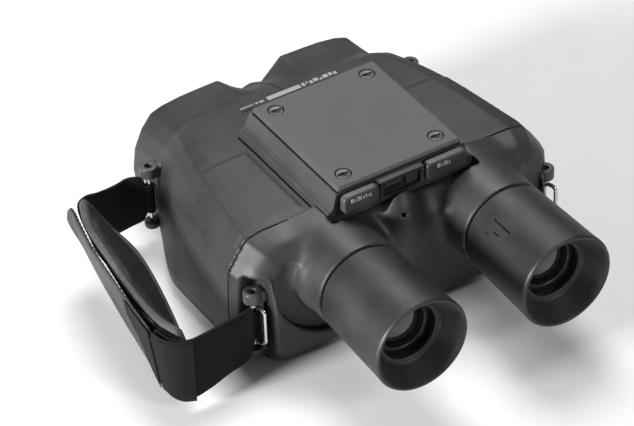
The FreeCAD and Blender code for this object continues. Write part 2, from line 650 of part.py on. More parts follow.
WEB_REAR = [((-77.6, -42.04, 30.8), (-77.6, -42.04, 15.4)), ((-79.4, -43.5, 35.2), (-79.4, -43.5, 11.0)),
            ((-84.6, -47.2, 37.4), (-84.6, -47.2, 9.5)), ((-95, -49.0, 38.2), (-95, -49.0, 8.6)),
            ((-106, -50.2, 38.0), (-106, -51.0, 7.0)), ((-114.5, -50.2, 38.0), (-115, -51.4, 6.2)),
            ((-121.4, -45.4, 38.4), (-120.4, -46.6, 6.4)), ((-124.2, -36.6, 39.0), (-121.2, -38.0, 7.4))]
WEB_FRONT = [((-71.76, 61.31, 32.3), (-71.76, 61.31, 16.9)), ((-73.6, 62.0, 36.8), (-73.6, 62.0, 12.3)),
             ((-79.6, 64.4, 37.5), (-79.6, 64.4, 9.6)), ((-87, 63.4, 37.2), (-87, 63.4, 9.6)),
             ((-97, 60.8, 39.2), (-95, 60.2, 11.5)), ((-104.4, 58.0, 42.4), (-98.6, 57.4, 14.6)),
             ((-110.6, 54.4, 43), (-103.2, 54.6, 15.5)), ((-113.4, 48, 42), (-105.4, 50, 14.8)),
             ((-116.5, 33, 40.5), (-105.6, 33, 13)), ((-118.7, 12, 38), (-107, 12, 10)),
             ((-121.0, -13, 35.5), (-111.5, -13, 9)), ((-121.0, -32, 34), (-117.2, -33, 8))]
PAD = [((-112.0, -45.0, 38), (-109.6, -45.4, 15)), ((-117.2, -31, 40), (-106.4, -33, 18)),
       ((-118.6, -12, 42), (-101.4, -14, 20)), ((-117.2, 12, 45), (-96.4, 12, 23)),
       ((-114.6, 34, 47.4), (-94.6, 32, 25)), ((-107.6, 51.0, 48.4), (-98.6, 48.6, 29))]
FLAP = [((-126.6, -37.0, 39.4), (-123.4, -39.5, 7.6)), ((-126.4, -20, 41.8), (-120.4, -20.5, 9.4)),
        ((-125.0, 0, 43.8), (-117.6, 0.5, 10.8)), ((-123.2, 20, 45.4), (-114.4, 22, 12.2)),
        ((-119.8, 38, 46.4), (-111.6, 42, 15.0)), ((-117.4, 47, 45.8), (-111.2, 52, 20.0)),
        ((-116.4, 52, 44.5), (-114.2, 59.0, 30.0))]


def web(stations, outward, leg):
    """Webbing with a sewn loop round the bail's upright wire."""
    x, y, z0, z1 = leg
    sewn = rod_z(LOOP_R, z0, z1, x, y).cut(rod_z(LOOP_BORE_R, z0 - 1, z1 + 1, x, y))
    return ribbon(stations, WEB_THICK, outward).fuse(sewn).removeSplitter()


def save_pair(name, right, left=None):
    """Save a right-hand part and its mirror."""
    save(name + "_right", *right)
    save(name + "_left", *[mirrored(shape) for shape in (left or right)])


def build_housing():
    save("main_housing", main_housing())
    skin = rubber_skin()
    bezels = hood_bezels()
    for side, name in SIDES:
        save("armour_" + name, half(skin, side))
        save("hood_" + name, half(bezels, side))
    save("rear_cover", rear_cover())
    save("rear_seal", rear_seal())
    save("bulkhead", bulkhead())
    save("tripod_bush", tripod_bush())


def build_top():
    save("top_block", top_block())
    save("top_cover", top_cover())
    save("cover_gasket", cover_gasket())
    save("cover_screws", *cover_screws())
    save("marking_strip", marking_strip())
    save("button_left", button(-1))
    save("button_right", button(1))
    save("button_switches", *button_switches())
    save("recess_panel", recess_panel())


def build_inside():
    save_pair("objective_tube", [objective_tube()])
    save_pair("objective_lens", [objective_lens()])
    save_pair("objective_ring", [objective_ring()])
    save("focus_lenses", focus_lens(), mirrored(focus_lens()))
    save("focus_cells", focus_cell(), mirrored(focus_cell()))
    save("laser_module", range_module(-1))
    save("receiver_module", range_module(1))
    save("main_board", circuit_board())
    save("compass_module", compass_module())
    save("battery_tube", battery_tube())
    save("battery_cells", *battery_cells())
    save("battery_spring", battery_spring())
    save("battery_cap", battery_cap())


def build_eyepieces():
    save_pair("eyepiece_base", [eyepiece_base()])
    save_pair("prism_carrier", [prism_carrier()])
    save_pair("prism", [rhomboid_prism()])
    save_pair("lens_cell", [lens_cell()])
    save_pair("eyecup", [eyecup()])
    save_pair("eye_lenses", eye_lenses())
    save_pair("sync_gear", [sync_gear(1)], [sync_gear(-1)])


def build_strap():
    for side, name in SIDES:
        save("lug_rear_" + name, strap_lug(side, REAR_LUG))
        save("lug_front_" + name, strap_lug(side, FRONT_LUG))
    save("bail_rear_left", bail(-1, REAR_LUG, 295))
    save("bail_front_left", bail(-1, FRONT_LUG, 75))
    save("bail_rear_right", bail(1, REAR_LUG, -70))
    save("bail_front_right", bail(1, FRONT_LUG, -45))
    save("web_rear", web(WEB_REAR, 1, (-REAR_LUG[0], REAR_LUG[1], 15.4, 30.8)))
    save("web_front", web(WEB_FRONT, -1, (-FRONT_LUG[0], FRONT_LUG[1], 16.9, 32.3)))
    save("strap_pad", ribbon(PAD, PAD_THICK, -1))
    save("strap_flap", ribbon(FLAP, WEB_THICK, 1))


build_housing()
build_top()
build_inside()
build_eyepieces()
build_strap()
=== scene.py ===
import json
import math
from contextlib import contextmanager

import bmesh
import bpy
import numpy as np
from mathutils import Matrix, Vector


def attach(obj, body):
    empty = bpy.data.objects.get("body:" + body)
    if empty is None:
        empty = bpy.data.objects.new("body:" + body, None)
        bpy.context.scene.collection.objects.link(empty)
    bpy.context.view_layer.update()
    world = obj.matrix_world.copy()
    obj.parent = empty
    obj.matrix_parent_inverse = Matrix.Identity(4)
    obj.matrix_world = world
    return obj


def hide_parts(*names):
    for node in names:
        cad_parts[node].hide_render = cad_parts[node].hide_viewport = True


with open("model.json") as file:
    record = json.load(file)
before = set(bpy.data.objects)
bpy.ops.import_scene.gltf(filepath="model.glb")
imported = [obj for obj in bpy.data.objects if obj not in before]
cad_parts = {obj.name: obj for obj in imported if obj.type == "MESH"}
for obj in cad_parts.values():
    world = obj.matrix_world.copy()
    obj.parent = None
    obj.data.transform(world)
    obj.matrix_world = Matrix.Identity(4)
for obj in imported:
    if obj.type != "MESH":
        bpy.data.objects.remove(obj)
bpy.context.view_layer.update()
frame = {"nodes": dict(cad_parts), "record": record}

MM = 0.001
# all sizes below are in millimetres unless they say otherwise; new_object turns them into metres
OBJ_X, OBJ_Z = 36.0, 26.0
EYE_X, EYE_Z = 37.2, 42.9
SWING_IN_DEG = 28
SIDES = ((-1, "left"), (1, "right"))
PLATE_SCREWS = [(x, y) for x in (-24, 24) for y in (-32.0, 23.4)]
REAR_SCREWS_X = (-44, -17, 17, 44)
REAR_SCREWS_Z = 6.8

# ---------------------------------------------------------------- camera

VIEW_AZ = math.radians(31.609)
VIEW_EL = math.radians(38.958)
VIEW_ROLL = math.radians(1.71)
VIEW_DISTANCE = 1.57612
VIEW_LENS = 197.09
VIEW_PIVOT = Vector((0, 0, 0.004))
VIEW_AIM = Vector((-0.01674, 0.0151, 0))
LIGHT_AIM = Vector((0, 0, 0.03))


def add_object(name, data):
    obj = bpy.data.objects.new(name, data)
    bpy.context.scene.collection.objects.link(obj)
    return obj


def place_camera():
    sa, ca = math.sin(VIEW_AZ), math.cos(VIEW_AZ)
    se, ce = math.sin(VIEW_EL), math.cos(VIEW_EL)
    right = Vector((ca, -sa, 0))
    up = Vector((sa * se, ca * se, ce))
    back = Vector((-sa * ce, -ca * ce, se))
    cr, sr = math.cos(VIEW_ROLL), math.sin(VIEW_ROLL)
    right, up = right * cr - up * sr, right * sr + up * cr
    eye = VIEW_PIVOT + back * VIEW_DISTANCE
    aim = VIEW_PIVOT + right * VIEW_AIM.x + up * VIEW_AIM.y
    back = (eye - aim).normalized()
    right = (right - back * right.dot(back)).normalized()
    up = back.cross(right)
    camera = add_object("camera", bpy.data.cameras.new("camera"))
    camera.data.lens = VIEW_LENS
    camera.data.clip_start = 0.05
    camera.matrix_world = Matrix.Translation(eye) @ Matrix((right, up, back)).transposed().to_4x4()
    bpy.context.scene.camera = camera


def area_light(name, place, size, power):
    """A disc of light in metres and watts, turned to the middle of the object."""
    lamp = bpy.data.lights.new(name, "AREA")
    lamp.shape = "DISK"
    lamp.size = size
    lamp.energy = power
    obj = add_object(name, lamp)
    obj.location = place
    obj.rotation_euler = (LIGHT_AIM - Vector(place)).to_track_quat("-Z", "Y").to_euler()


def light_studio():
    world = bpy.data.worlds.new("studio")
    world.use_nodes = True
    background = world.node_tree.nodes["Background"]
    background.inputs[0].default_value = (1, 1, 1, 1)
    background.inputs[1].default_value = 0.12
    bpy.context.scene.world = world
    bpy.context.scene.view_settings.view_transform = "Standard"
    area_light("key", (-1.40, -0.05, 0.42), 0.35, 40)
    area_light("top", (0.30, 0.60, 1.35), 0.8, 18)
    area_light("rear", (0.5, -1.25, 0.85), 0.35, 6.5)


# ---------------------------------------------------------------- materials

def node_tree(name):
    """A new material, its node tree and its shader."""
    mat = bpy.data.materials.new(name)
    mat.use_nodes = True
    tree = mat.node_tree
    return mat, tree, tree.nodes["Principled BSDF"]


def shades(colour, low, high):
    return tuple(c * low for c in colour), tuple(min(1, c * high) for c in colour)


def feed(tree, node, inputs):
    """Sets each named input of a node to a value, or links another node's output to it."""
    for key, value in inputs.items():
        if isinstance(value, bpy.types.NodeSocket):
            tree.links.new(value, node.inputs[key])
        else:
            node.inputs[key].default_value = value


def new_node(tree, kind, inputs, **settings):
    node = tree.nodes.new("ShaderNode" + kind)
    for key, value in settings.items():
        setattr(node, key, value)
    feed(tree, node, inputs)
    return node


def coordinates(tree, source="Object", scale=(1, 1, 1)):
    place = new_node(tree, "TexCoord", {}).outputs[source]
    return new_node(tree, "Mapping", {"Vector": place, "Scale": scale}).outputs["Vector"]


def noise(tree, vector, scale, detail=3.0, roughness=0.55):
    inputs = {"Vector": vector, "Scale": scale, "Detail": detail, "Roughness": roughness}
    return new_node(tree, "TexNoise", inputs).outputs["Fac"]


def math_node(tree, kind, a, b):
    return new_node(tree, "Math", {0: a, 1: b}, operation=kind).outputs[0]


def ramp(tree, value, low, high, out_low=0.0, out_high=1.0):
    inputs = {"Value": value, "From Min": low, "From Max": high, "To Min": out_low, "To Max": out_high}
    return new_node(tree, "MapRange", inputs).outputs["Result"]


def mix_colour(tree, factor, low, high, blend="MIX"):
    """Colour between low and high by factor; each of the three is a value or a node output."""
    node = new_node(tree, "Mix", {0: factor}, data_type="RGBA", blend_type=blend)
    first, second = [k for k, s in enumerate(node.inputs) if s.type == "RGBA"]
    feed(tree, node, {first: rgba(low), second: rgba(high)})
    return next(s for s in node.outputs if s.type == "RGBA")


def rgba(colour):
    return colour + (1,) if isinstance(colour, tuple) else colour


def bump(tree, shader, height, strength, distance):
    node = new_node(tree, "Bump", {"Height": height, "Strength": strength, "Distance": distance})
    feed(tree, shader, {"Normal": node.outputs["Normal"]})


def moulded(name, colour, roughness, grain=900.0, grain_depth=0.00006, grain_strength=0.35,
            metallic=0.0, vary=0.25, edge_highlight=0.35):
    """Moulded rubber, plastic or paint: fine grain, cloudy colour, and a painted highlight of lighter colour
    on convex edges.
    """
    mat, tree, shader = node_tree(name)
    vector = coordinates(tree)
    cloud = noise(tree, vector, 38.0, 4.0)
    speck = noise(tree, vector, grain, 2.0, 0.7)
    # painted highlight: convex edges found by pointiness get a lighter copy of the colour added to the base,
    # for the light they catch
    edges = ramp(tree, new_node(tree, "NewGeometry", {}).outputs["Pointiness"], 0.52, 0.60)
    base = mix_colour(tree, ramp(tree, cloud, 0.35, 0.65), *shades(colour, 1 - vary, 1 + vary))
    highlight_colour = tuple(min(1, c * 2.4 + 0.02) for c in colour)
    painted_highlight = mix_colour(tree, math_node(tree, "MULTIPLY", edges, edge_highlight), (0, 0, 0), highlight_colour)
    feed(tree, shader, {
        "Base Color": mix_colour(tree, 1.0, base, painted_highlight, "ADD"),
        "Roughness": ramp(tree, noise(tree, vector, 75.0, 3.0), 0.3, 0.7, roughness - 0.05, roughness + 0.07),
        "Metallic": metallic,
        "Specular IOR Level": 0.5})
    bump(tree, shader, speck, grain_strength, grain_depth)
    return mat


def steel(name, colour, roughness):
    """Bare metal with fine upright scratches."""
    mat, tree, shader = node_tree(name)
    brushed = noise(tree, coordinates(tree, scale=(1, 1, 0.15)), 1400.0, 3.0, 0.6)
    feed(tree, shader, {
        "Base Color": mix_colour(tree, brushed, *shades(colour, 0.8, 1)),
        "Roughness": ramp(tree, brushed, 0.3, 0.7, roughness - 0.06, roughness + 0.1),
        "Metallic": 1.0})
    bump(tree, shader, brushed, 0.12, 0.00003)
    return mat


def optical_glass(name, tint):
    """Coated lens: dark glass that is a little clear, with faint dust and a thin hard coat."""
    mat, tree, shader = node_tree(name)
    dust = noise(tree, coordinates(tree), 700.0, 2.0, 0.8)
    facing = new_node(tree, "LayerWeight", {"Blend": 0.35}).outputs["Facing"]
    edge, middle = shades(tint, 0.4, 1)
    feed(tree, shader, {
        "Base Color": mix_colour(tree, facing, middle, edge),
        "Roughness": ramp(tree, dust, 0.55, 0.8, 0.02, 0.09),
        "Specular IOR Level": 0.6,
        "Coat Weight": 0.4,
        "Coat Roughness": 0.02,
        "Transmission Weight": 0.25})
    return mat


def woven(name, colour):
    """Flat nylon webbing: diagonal ribs in the strap's own UV metres, with fuzz on top."""
    mat, tree, shader = node_tree(name)
    vector = coordinates(tree, "UV")
    ribs = []
    for angle in (math.radians(52), math.radians(-52)):
        turned = new_node(tree, "Mapping", {"Vector": vector, "Rotation": (0, 0, angle)}).outputs["Vector"]
        wave = new_node(tree, "TexWave", {"Vector": turned, "Scale": 190.0, "Distortion": 0.6})
        ribs.append(wave.outputs["Fac"])
    weave = math_node(tree, "MAXIMUM", ribs[0], ribs[1])
    fuzz = noise(tree, vector, 1500.0, 2.0, 0.8)
    height = math_node(tree, "ADD", weave, math_node(tree, "MULTIPLY", fuzz, 0.4))
    feed(tree, shader, {
        "Base Color": mix_colour(tree, ramp(tree, height, 0.3, 1.2), *shades(colour, 0.45, 1.5)),
        "Roughness": 0.82,
        "Sheen Weight": 0.05,
        "Sheen Roughness": 0.5,
        "Specular IOR Level": 0.2})
    bump(tree, shader, height, 0.6, 0.00025)
    return mat


def leather(name, colour, roughness):
    """Grained leather: pebble cells, creases and a lighter bloom of wear."""
    mat, tree, shader = node_tree(name)
    vector = coordinates(tree)
    cells = new_node(tree, "TexVoronoi", {}, feature="DISTANCE_TO_EDGE")
    feed(tree, cells, {"Vector": vector, "Scale": 950.0})
    pebble = ramp(tree, cells.outputs["Distance"], 0.0, 0.22)
    crease = noise(tree, vector, 120.0, 5.0, 0.65)
    bloom = noise(tree, vector, 42.0, 4.0, 0.6)
    low, high = shades(colour, 0.6, 1.9)
    base = mix_colour(tree, ramp(tree, bloom, 0.38, 0.66), low, high)
    feed(tree, shader, {
        "Base Color": mix_colour(tree, pebble, low, base),
        "Roughness": ramp(tree, crease, 0.3, 0.7, roughness - 0.08, roughness + 0.12)})
    height = math_node(tree, "ADD", pebble, math_node(tree, "MULTIPLY", crease, 1.2))
    bump(tree, shader, height, 0.5, 0.00012)
    return mat


# name: colour, roughness, grain scale, grain depth in metres, grain strength, metallic, vary, painted edge
# highlight
MOULDED = {
    "armour_rubber": ((0.0235, 0.0222, 0.0228), 0.55, 1100, 0.00008, 0.45, 0.0, 0.25, 0.08),
    "cover_shell": ((0.028, 0.0268, 0.0272), 0.5, 1600, 0.00003, 0.2, 0.0, 0.25, 0.05),
    "block_shell": ((0.045, 0.042, 0.043), 0.42, 1500, 0.00004, 0.25, 0.0, 0.1, 0),
    "plate_metal": ((0.062, 0.058, 0.059), 0.55, 1700, 0.00004, 0.3, 0.0, 0.06, 0),
    "chassis_metal": ((0.09, 0.09, 0.09), 0.5, 800, 0.00006, 0.3),
    "seal_rubber": ((0.012, 0.012, 0.012), 0.7),
    "screw_steel": ((0.07, 0.067, 0.068), 0.38, 1800, 0.00003, 0.2, 0.7),
    "strip_marking": ((0.85, 0.85, 0.85), 0.5, 900, 0.00003, 0.2, 0.0, 0.08),
    "button_rubber": ((0.040, 0.038, 0.039), 0.45, 1300, 0.00005, 0.3, 0.0, 0.25, 0),
    "inner_plastic": ((0.014, 0.013, 0.014), 0.55),
    "black_metal": ((0.016, 0.015, 0.016), 0.4, 1800, 0.00003, 0.2, 0.3),
    "board_green": ((0.03, 0.14, 0.06), 0.4, 600),
    "cell_wrap": ((0.08, 0.09, 0.2), 0.3, 500),
    "cap_metal": ((0.03, 0.03, 0.03), 0.38, 1700, 0.00003, 0.2, 0.6),
    "barrel_shell": ((0.030, 0.0288, 0.0292), 0.48, 1700, 0.00003, 0.2),
    "eyecup_rubber": ((0.0155, 0.0146, 0.015), 0.52, 1200, 0.00005, 0.35),
    "lug_metal": ((0.045, 0.044, 0.045), 0.42, 1400, 0.00004, 0.3),
    "stitching": ((0.05, 0.05, 0.05), 0.7, 2500, 0.00008, 0.5),
    "print_white": ((0.32, 0.32, 0.315), 0.5, 900, 0.00002, 0.1, 0.0, 0.1, 0.0),
}
# name: colour, roughness
STEELS = {
    "bail_steel": ((0.82, 0.80, 0.78), 0.2),
    "bush_steel": ((0.5, 0.49, 0.47), 0.32),
    "gear_brass": ((0.72, 0.53, 0.25), 0.3),
}
# name: colour, roughness
LEATHERS = {
    "pad_leather": ((0.010, 0.0098, 0.010), 0.6),
    "binding_leather": ((0.062, 0.060, 0.061), 0.6),
    "flap_leather": ((0.018, 0.0195, 0.019), 0.5),
}


def make_materials():
    made = {name: moulded(name, *numbers) for name, numbers in MOULDED.items()}
    made.update({name: steel(name, *numbers) for name, numbers in STEELS.items()})
    made.update({name: leather(name, *numbers) for name, numbers in LEATHERS.items()})
    made["coated_glass"] = optical_glass("coated_glass", (0.012, 0.013, 0.013))
    made["strap_webbing"] = woven("strap_webbing", (0.0016, 0.0015, 0.0016))
    return made


# ---------------------------------------------------------------- mesh helpers

def finish_piece(obj, mat, body, replaces=()):
    """Material, body and replaced CAD nodes of one visual piece."""
    obj.data.materials.clear()
    obj.data.materials.append(MATERIALS[mat])
    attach(obj, body)
    if replaces:
        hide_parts(*replaces)
    return obj


def shade(mesh, sharp_deg):
    mesh.shade_smooth()
    mesh.set_sharp_from_angle(angle=math.radians(sharp_deg))


def new_object(name, points, faces, sharp_deg=35.0):
    mesh = bpy.data.meshes.new(name)
    mesh.from_pydata([tuple(p) for p in np.asarray(points, float) * MM], [], faces)
    mesh.validate()
    shade(mesh, sharp_deg)
    return add_object(name, mesh)


@contextmanager
def editing(mesh):
    """The mesh as a bmesh, written back at the end."""
    work = bmesh.new()
    work.from_mesh(mesh)
    yield work
    work.to_mesh(mesh)
    work.free()


def apply_modifiers(obj):
    graph = bpy.context.evaluated_depsgraph_get()
    mesh = bpy.data.meshes.new_from_object(obj.evaluated_get(graph))
    old = obj.data
    obj.modifiers.clear()
    obj.data = mesh
    bpy.data.meshes.remove(old)


def bevel(obj, width, segments=3, angle=30.0):
    mod = obj.modifiers.new("bevel", "BEVEL")
    mod.width = width * MM
    mod.segments = segments
    mod.limit_method = "ANGLE"
    mod.angle_limit = math.radians(angle)
    mod.harden_normals = True
    apply_modifiers(obj)
    return obj


def carve(obj, cutter):
    """Cuts the cutter out of the piece and deletes the cutter."""
    mod = obj.modifiers.new("carve", "BOOLEAN")
    mod.operation = "DIFFERENCE"
    mod.solver = "EXACT"
    mod.object = cutter
    apply_modifiers(obj)
    bpy.data.objects.remove(cutter)


def join(name, objs):
    """One object from several, made in bmesh."""
    merged = bmesh.new()
    for obj in objs:
        merged.from_mesh(obj.data)
        bpy.data.objects.remove(obj)
    mesh = bpy.data.meshes.new(name)
    merged.to_mesh(mesh)
    merged.free()
    shade(mesh, 35)
    return add_object(name, mesh)


def fillet(points, radius, steps=5):
    """A polygon with its corners rounded; radius is one number or one per corner."""
    result = []
    n = len(points)
    for i, point in enumerate(points):
        r = radius[i] if isinstance(radius, list) else radius
        p = np.array(point, float)
        if r <= 0:
            result.append(tuple(p))
            continue
        a = np.array(points[i - 1], float) - p
        b = np.array(points[(i + 1) % n], float) - p
        la, lb = np.linalg.norm(a), np.linalg.norm(b)
        a, b = a / la, b / lb
        angle = math.acos(max(-1, min(1, float(a @ b))))
        cut = min(r / math.tan(angle / 2), 0.49 * la, 0.49 * lb)
        start, end = p + a * cut, p + b * cut
        for k in range(steps + 1):
            t = k / steps
            result.append(tuple((1 - t) ** 2 * start + 2 * t * (1 - t) * p + t * t * end))
    return result


def lathe(name, profile, x, z, segments=96):
    """Solid of revolution about the line along Y through (x, z); profile is a closed ring of (y, r)."""
    points = []
    for s in range(segments):
        a = 2 * math.pi * s / segments
        points += [(x + r * math.cos(a), y, z + r * math.sin(a)) for y, r in profile]
    return outward(new_object(name, points, tube_faces(segments, len(profile), True), 40))


def tube_faces(rows, n, closed=False):
    """Quads between rows of n points; the two ends are capped unless the rows close on themselves."""
    faces = []
    for r in range(rows if closed else rows - 1):
        a, b = r * n, (r + 1) % rows * n
        faces += [(a + i, a + (i + 1) % n, b + (i + 1) % n, b + i) for i in range(n)]
    if not closed:
        faces.append(tuple(range(n))[::-1])
        faces.append(tuple(range((rows - 1) * n, rows * n)))
    return faces


def outward(obj):
    """Merges points that coincide and makes every face point out."""
    with editing(obj.data) as work:
        bmesh.ops.remove_doubles(work, verts=work.verts, dist=1e-7)
        bmesh.ops.dissolve_degenerate(work, dist=1e-7, edges=work.edges)
        bmesh.ops.recalc_face_normals(work, faces=work.faces)
    return obj


def lathe_z(name, profile, x, y, segments=64):
    """Solid of revolution about a vertical axis; profile is a ring of (z, r)."""
    obj = lathe(name, profile, 0, 0, segments)
    obj.data.transform(Matrix(((1, 0, 0, x * MM), (0, 0, 1, y * MM), (0, 1, 0, 0), (0, 0, 0, 1))))
    return outward(obj)


def prism(name, outline, axis, low, high):
    """A straight bar: outline in the other two axes, from low to high along axis."""
    k = "XYZ".index(axis)
    points = []
    for level in (low, high):
        for corner in outline:
            points.append((*corner[:k], level, *corner[k:]))
    n = len(outline)
    faces = [tuple(range(n))[::-1], tuple(range(n, 2 * n))]
    faces += [(i, (i + 1) % n, (i + 1) % n + n, i + n) for i in range(n)]
    return outward(new_object(name, points, faces))


def rectangle(x0, x1, y0, y1, radius=0.0, steps=5):
    corners = [(x0, y0), (x1, y0), (x1, y1), (x0, y1)]
    return fillet(corners, radius, steps) if radius else corners


def disc(name, r, axis, low, high, centre, segments=48):
    angles = [2 * math.pi * i / segments for i in range(segments)]
    ring = [(centre[0] + r * math.cos(a), centre[1] + r * math.sin(a)) for a in angles]
    return prism(name, ring, axis, low, high)


# ---------------------------------------------------------------- bodies from distance fields

CORNERS = [(i, j, k) for i in (0, 1) for j in (0, 1) for k in (0, 1)]
CELL_EDGES = [(a, b) for a in CORNERS for b in CORNERS
              if sum(abs(p - q) for p, q in zip(a, b)) == 1 and a < b]


def surface_net(field, low, high, step):
    """Points and quads of the surface where field is zero, one point per crossed grid cell."""
    low = np.array(low, float)
    axes = [np.arange(a, b + step, step) for a, b in zip(low, high)]
    shape = tuple(len(a) for a in axes)
    grid = (axes[0][:, None, None], axes[1][None, :, None], axes[2][None, None, :])
    value = np.broadcast_to(field(*grid), shape)
    inside = value < 0
    cells_shape = tuple(s - 1 for s in shape)
    count = np.zeros(cells_shape, np.int8)
    for i, j, k in CORNERS:
        count += inside[i:i + cells_shape[0], j:j + cells_shape[1], k:k + cells_shape[2]]
    active = (count > 0) & (count < 8)
    cells = np.argwhere(active)
    number = np.full(cells_shape, -1)
    number[active] = np.arange(len(cells))
    total = np.zeros((len(cells), 3))
    hits = np.zeros(len(cells))
    for a, b in CELL_EDGES:
        fa = value[tuple((cells + a).T)]
        fb = value[tuple((cells + b).T)]
        cross = (fa < 0) != (fb < 0)
        t = np.where(cross, fa / np.where(cross, fa - fb, 1), 0)
        total += cross[:, None] * (np.array(a) + t[:, None] * (np.array(b) - np.array(a)))
        hits += cross
    points = low + (cells + total / hits[:, None]) * step
    faces = []
    for axis in range(3):
        u, v = (axis + 1) % 3, (axis + 2) % 3
        head = [slice(None)] * 3
        tail = [slice(None)] * 3
        head[axis], tail[axis] = slice(0, -1), slice(1, None)
        crossing = inside[tuple(head)] != inside[tuple(tail)]
        at = np.argwhere(crossing)
        keep = (at[:, u] > 0) & (at[:, v] > 0) & (at[:, u] < cells_shape[u]) & (at[:, v] < cells_shape[v])
        at = at[keep]
        quad = []
        for du, dv in ((-1, -1), (0, -1), (0, 0), (-1, 0)):
            cell = at.copy()
            cell[:, u] += du
            cell[:, v] += dv
            quad.append(number[tuple(cell.T)])
        quad = np.stack(quad, 1)
        out = inside[tuple(at.T)]
        quad[~out] = quad[~out][:, ::-1]
        faces.append(quad)
    return settle(field, points, step), np.concatenate(faces)


def settle(field, points, step):
    """Moves each point along the field's slope until it lies on the surface."""
    eps = 0.08
    longest = 0.45 * step
    for _ in range(4):
        x, y, z = points.T
        f = field(x, y, z)
        slope = np.stack([field(x + eps, y, z) - field(x - eps, y, z),
                          field(x, y + eps, z) - field(x, y - eps, z),
                          field(x, y, z + eps) - field(x, y, z - eps)], 1) / (2 * eps)
        length = np.maximum((slope ** 2).sum(1), 0.05)
        move = slope * (f / length)[:, None]
        size = np.linalg.norm(move, axis=1)
        move *= np.minimum(1, longest / np.maximum(size, 1e-9))[:, None]
        points = points - move * 0.8
    return points


def field_object(name, field, low, high, step):
    points, quads = surface_net(field, low, high, step)
    mesh = bpy.data.meshes.new(name)
    mesh.vertices.add(len(points))
    mesh.vertices.foreach_set("co", (points * MM).astype(np.float32).ravel())
    mesh.loops.add(len(quads) * 4)
    mesh.loops.foreach_set("vertex_index", quads.astype(np.int32).ravel())
    mesh.polygons.add(len(quads))
    mesh.polygons.foreach_set("loop_start", np.arange(0, len(quads) * 4, 4, dtype=np.int32))
    mesh.update(calc_edges=True)
    mesh.validate()
    shade(mesh, 55)
    return add_object(name, mesh)


def smooth_max(a, b, k):
    h = np.clip(0.5 + 0.5 * (a - b) / k, 0, 1)
    return b * (1 - h) + a * h + k * h * (1 - h)


def smooth_min(a, b, k):
    return -smooth_max(-a, -b, k)


def box_field(x, y, z, low, high, radius=0.0):
    q = [abs(v - (a + b) / 2) - (b - a) / 2 + radius for v, a, b in zip((x, y, z), low, high)]
    outside = np.sqrt(sum(np.maximum(v, 0) ** 2 for v in q))
    return outside + np.minimum(np.maximum(np.maximum(q[0], q[1]), q[2]), 0) - radius


def rod_field(u, v, centre, r):
    return np.sqrt((u - centre[0]) ** 2 + (v - centre[1]) ** 2) - r


def pulled_in(outline, depth):
    """The half outline moved inwards by depth, so that rounding it brings it back to size."""
    ring = outline + [(-x, z) for x, z in reversed(outline) if x > 0]
    result = []
    for i in range(len(outline)):
        (x0, z0), (x1, z1), (x2, z2) = ring[i - 1], ring[i], ring[(i + 1) % len(ring)]
        a = math.atan2(z1 - z0, x1 - x0)
        turn = (math.atan2(z2 - z1, x2 - x1) - a + math.pi) % (2 * math.pi) - math.pi
        reach = depth / math.cos(turn / 2)
        x = x1 + math.sin(a + turn / 2) * reach
        result.append((0.0 if x1 == 0 else x, z1 - math.cos(a + turn / 2) * reach))
    return result


class Outline:
    """A mirrored cross-section in XZ that changes smoothly along Y."""

    def __init__(self, stations, radius):
        self.radius = radius
        self.y = np.array([y for y, _ in stations], float)
        self.points = np.array([pulled_in(outline, radius) for _, outline in stations])
        step = np.diff(self.y)[:, None, None]
        slope = np.diff(self.points, axis=0) / step
        self.slope = np.zeros_like(self.points)
        self.slope[0], self.slope[-1] = slope[0], slope[-1]
        same = slope[:-1] * slope[1:] > 0
        mean = 2 * slope[:-1] * slope[1:] / np.where(same, slope[:-1] + slope[1:], 1)
        self.slope[1:-1] = np.where(same, mean, 0)

    def at(self, y):
        y = np.asarray(y, float)
        i = np.clip(np.searchsorted(self.y, y, side="right") - 1, 0, len(self.y) - 2)
        width = self.y[i + 1] - self.y[i]
        t = np.clip((y - self.y[i]) / width, 0, 1)[..., None, None]
        w = width[..., None, None]
        return ((2 * t ** 3 - 3 * t ** 2 + 1) * self.points[i] + (t ** 3 - 2 * t ** 2 + t) * w * self.slope[i]
                + (3 * t ** 2 - 2 * t ** 3) * self.points[i + 1] + (t ** 3 - t ** 2) * w * self.slope[i + 1])

    def distance(self, x, y, z):
        x = abs(x)
        corners = self.at(y)
        n = corners.shape[-2]
        nearest = None
        sign = 1.0
        for i in range(n):
            j = (i + 1) % n
            ax, az = corners[..., i, 0], corners[..., i, 1]
            bx, bz = corners[..., j, 0], corners[..., j, 1]
            ex, ez = bx - ax, bz - az
            wx, wz = x - ax, z - az
            above, below = z >= az, z < bz
            left = ex * wz > ez * wx
            sign = sign * np.where((above & below & left) | (~above & ~below & ~left), -1.0, 1.0)
            if j:
                t = np.clip((wx * ex + wz * ez) / (ex * ex + ez * ez + 1e-9), 0, 1)
                d = (wx - ex * t) ** 2 + (wz - ez * t) ** 2
                nearest = d if nearest is None else np.minimum(nearest, d)
        return sign * np.sqrt(nearest) - self.radius


CORNER_R = 2.5
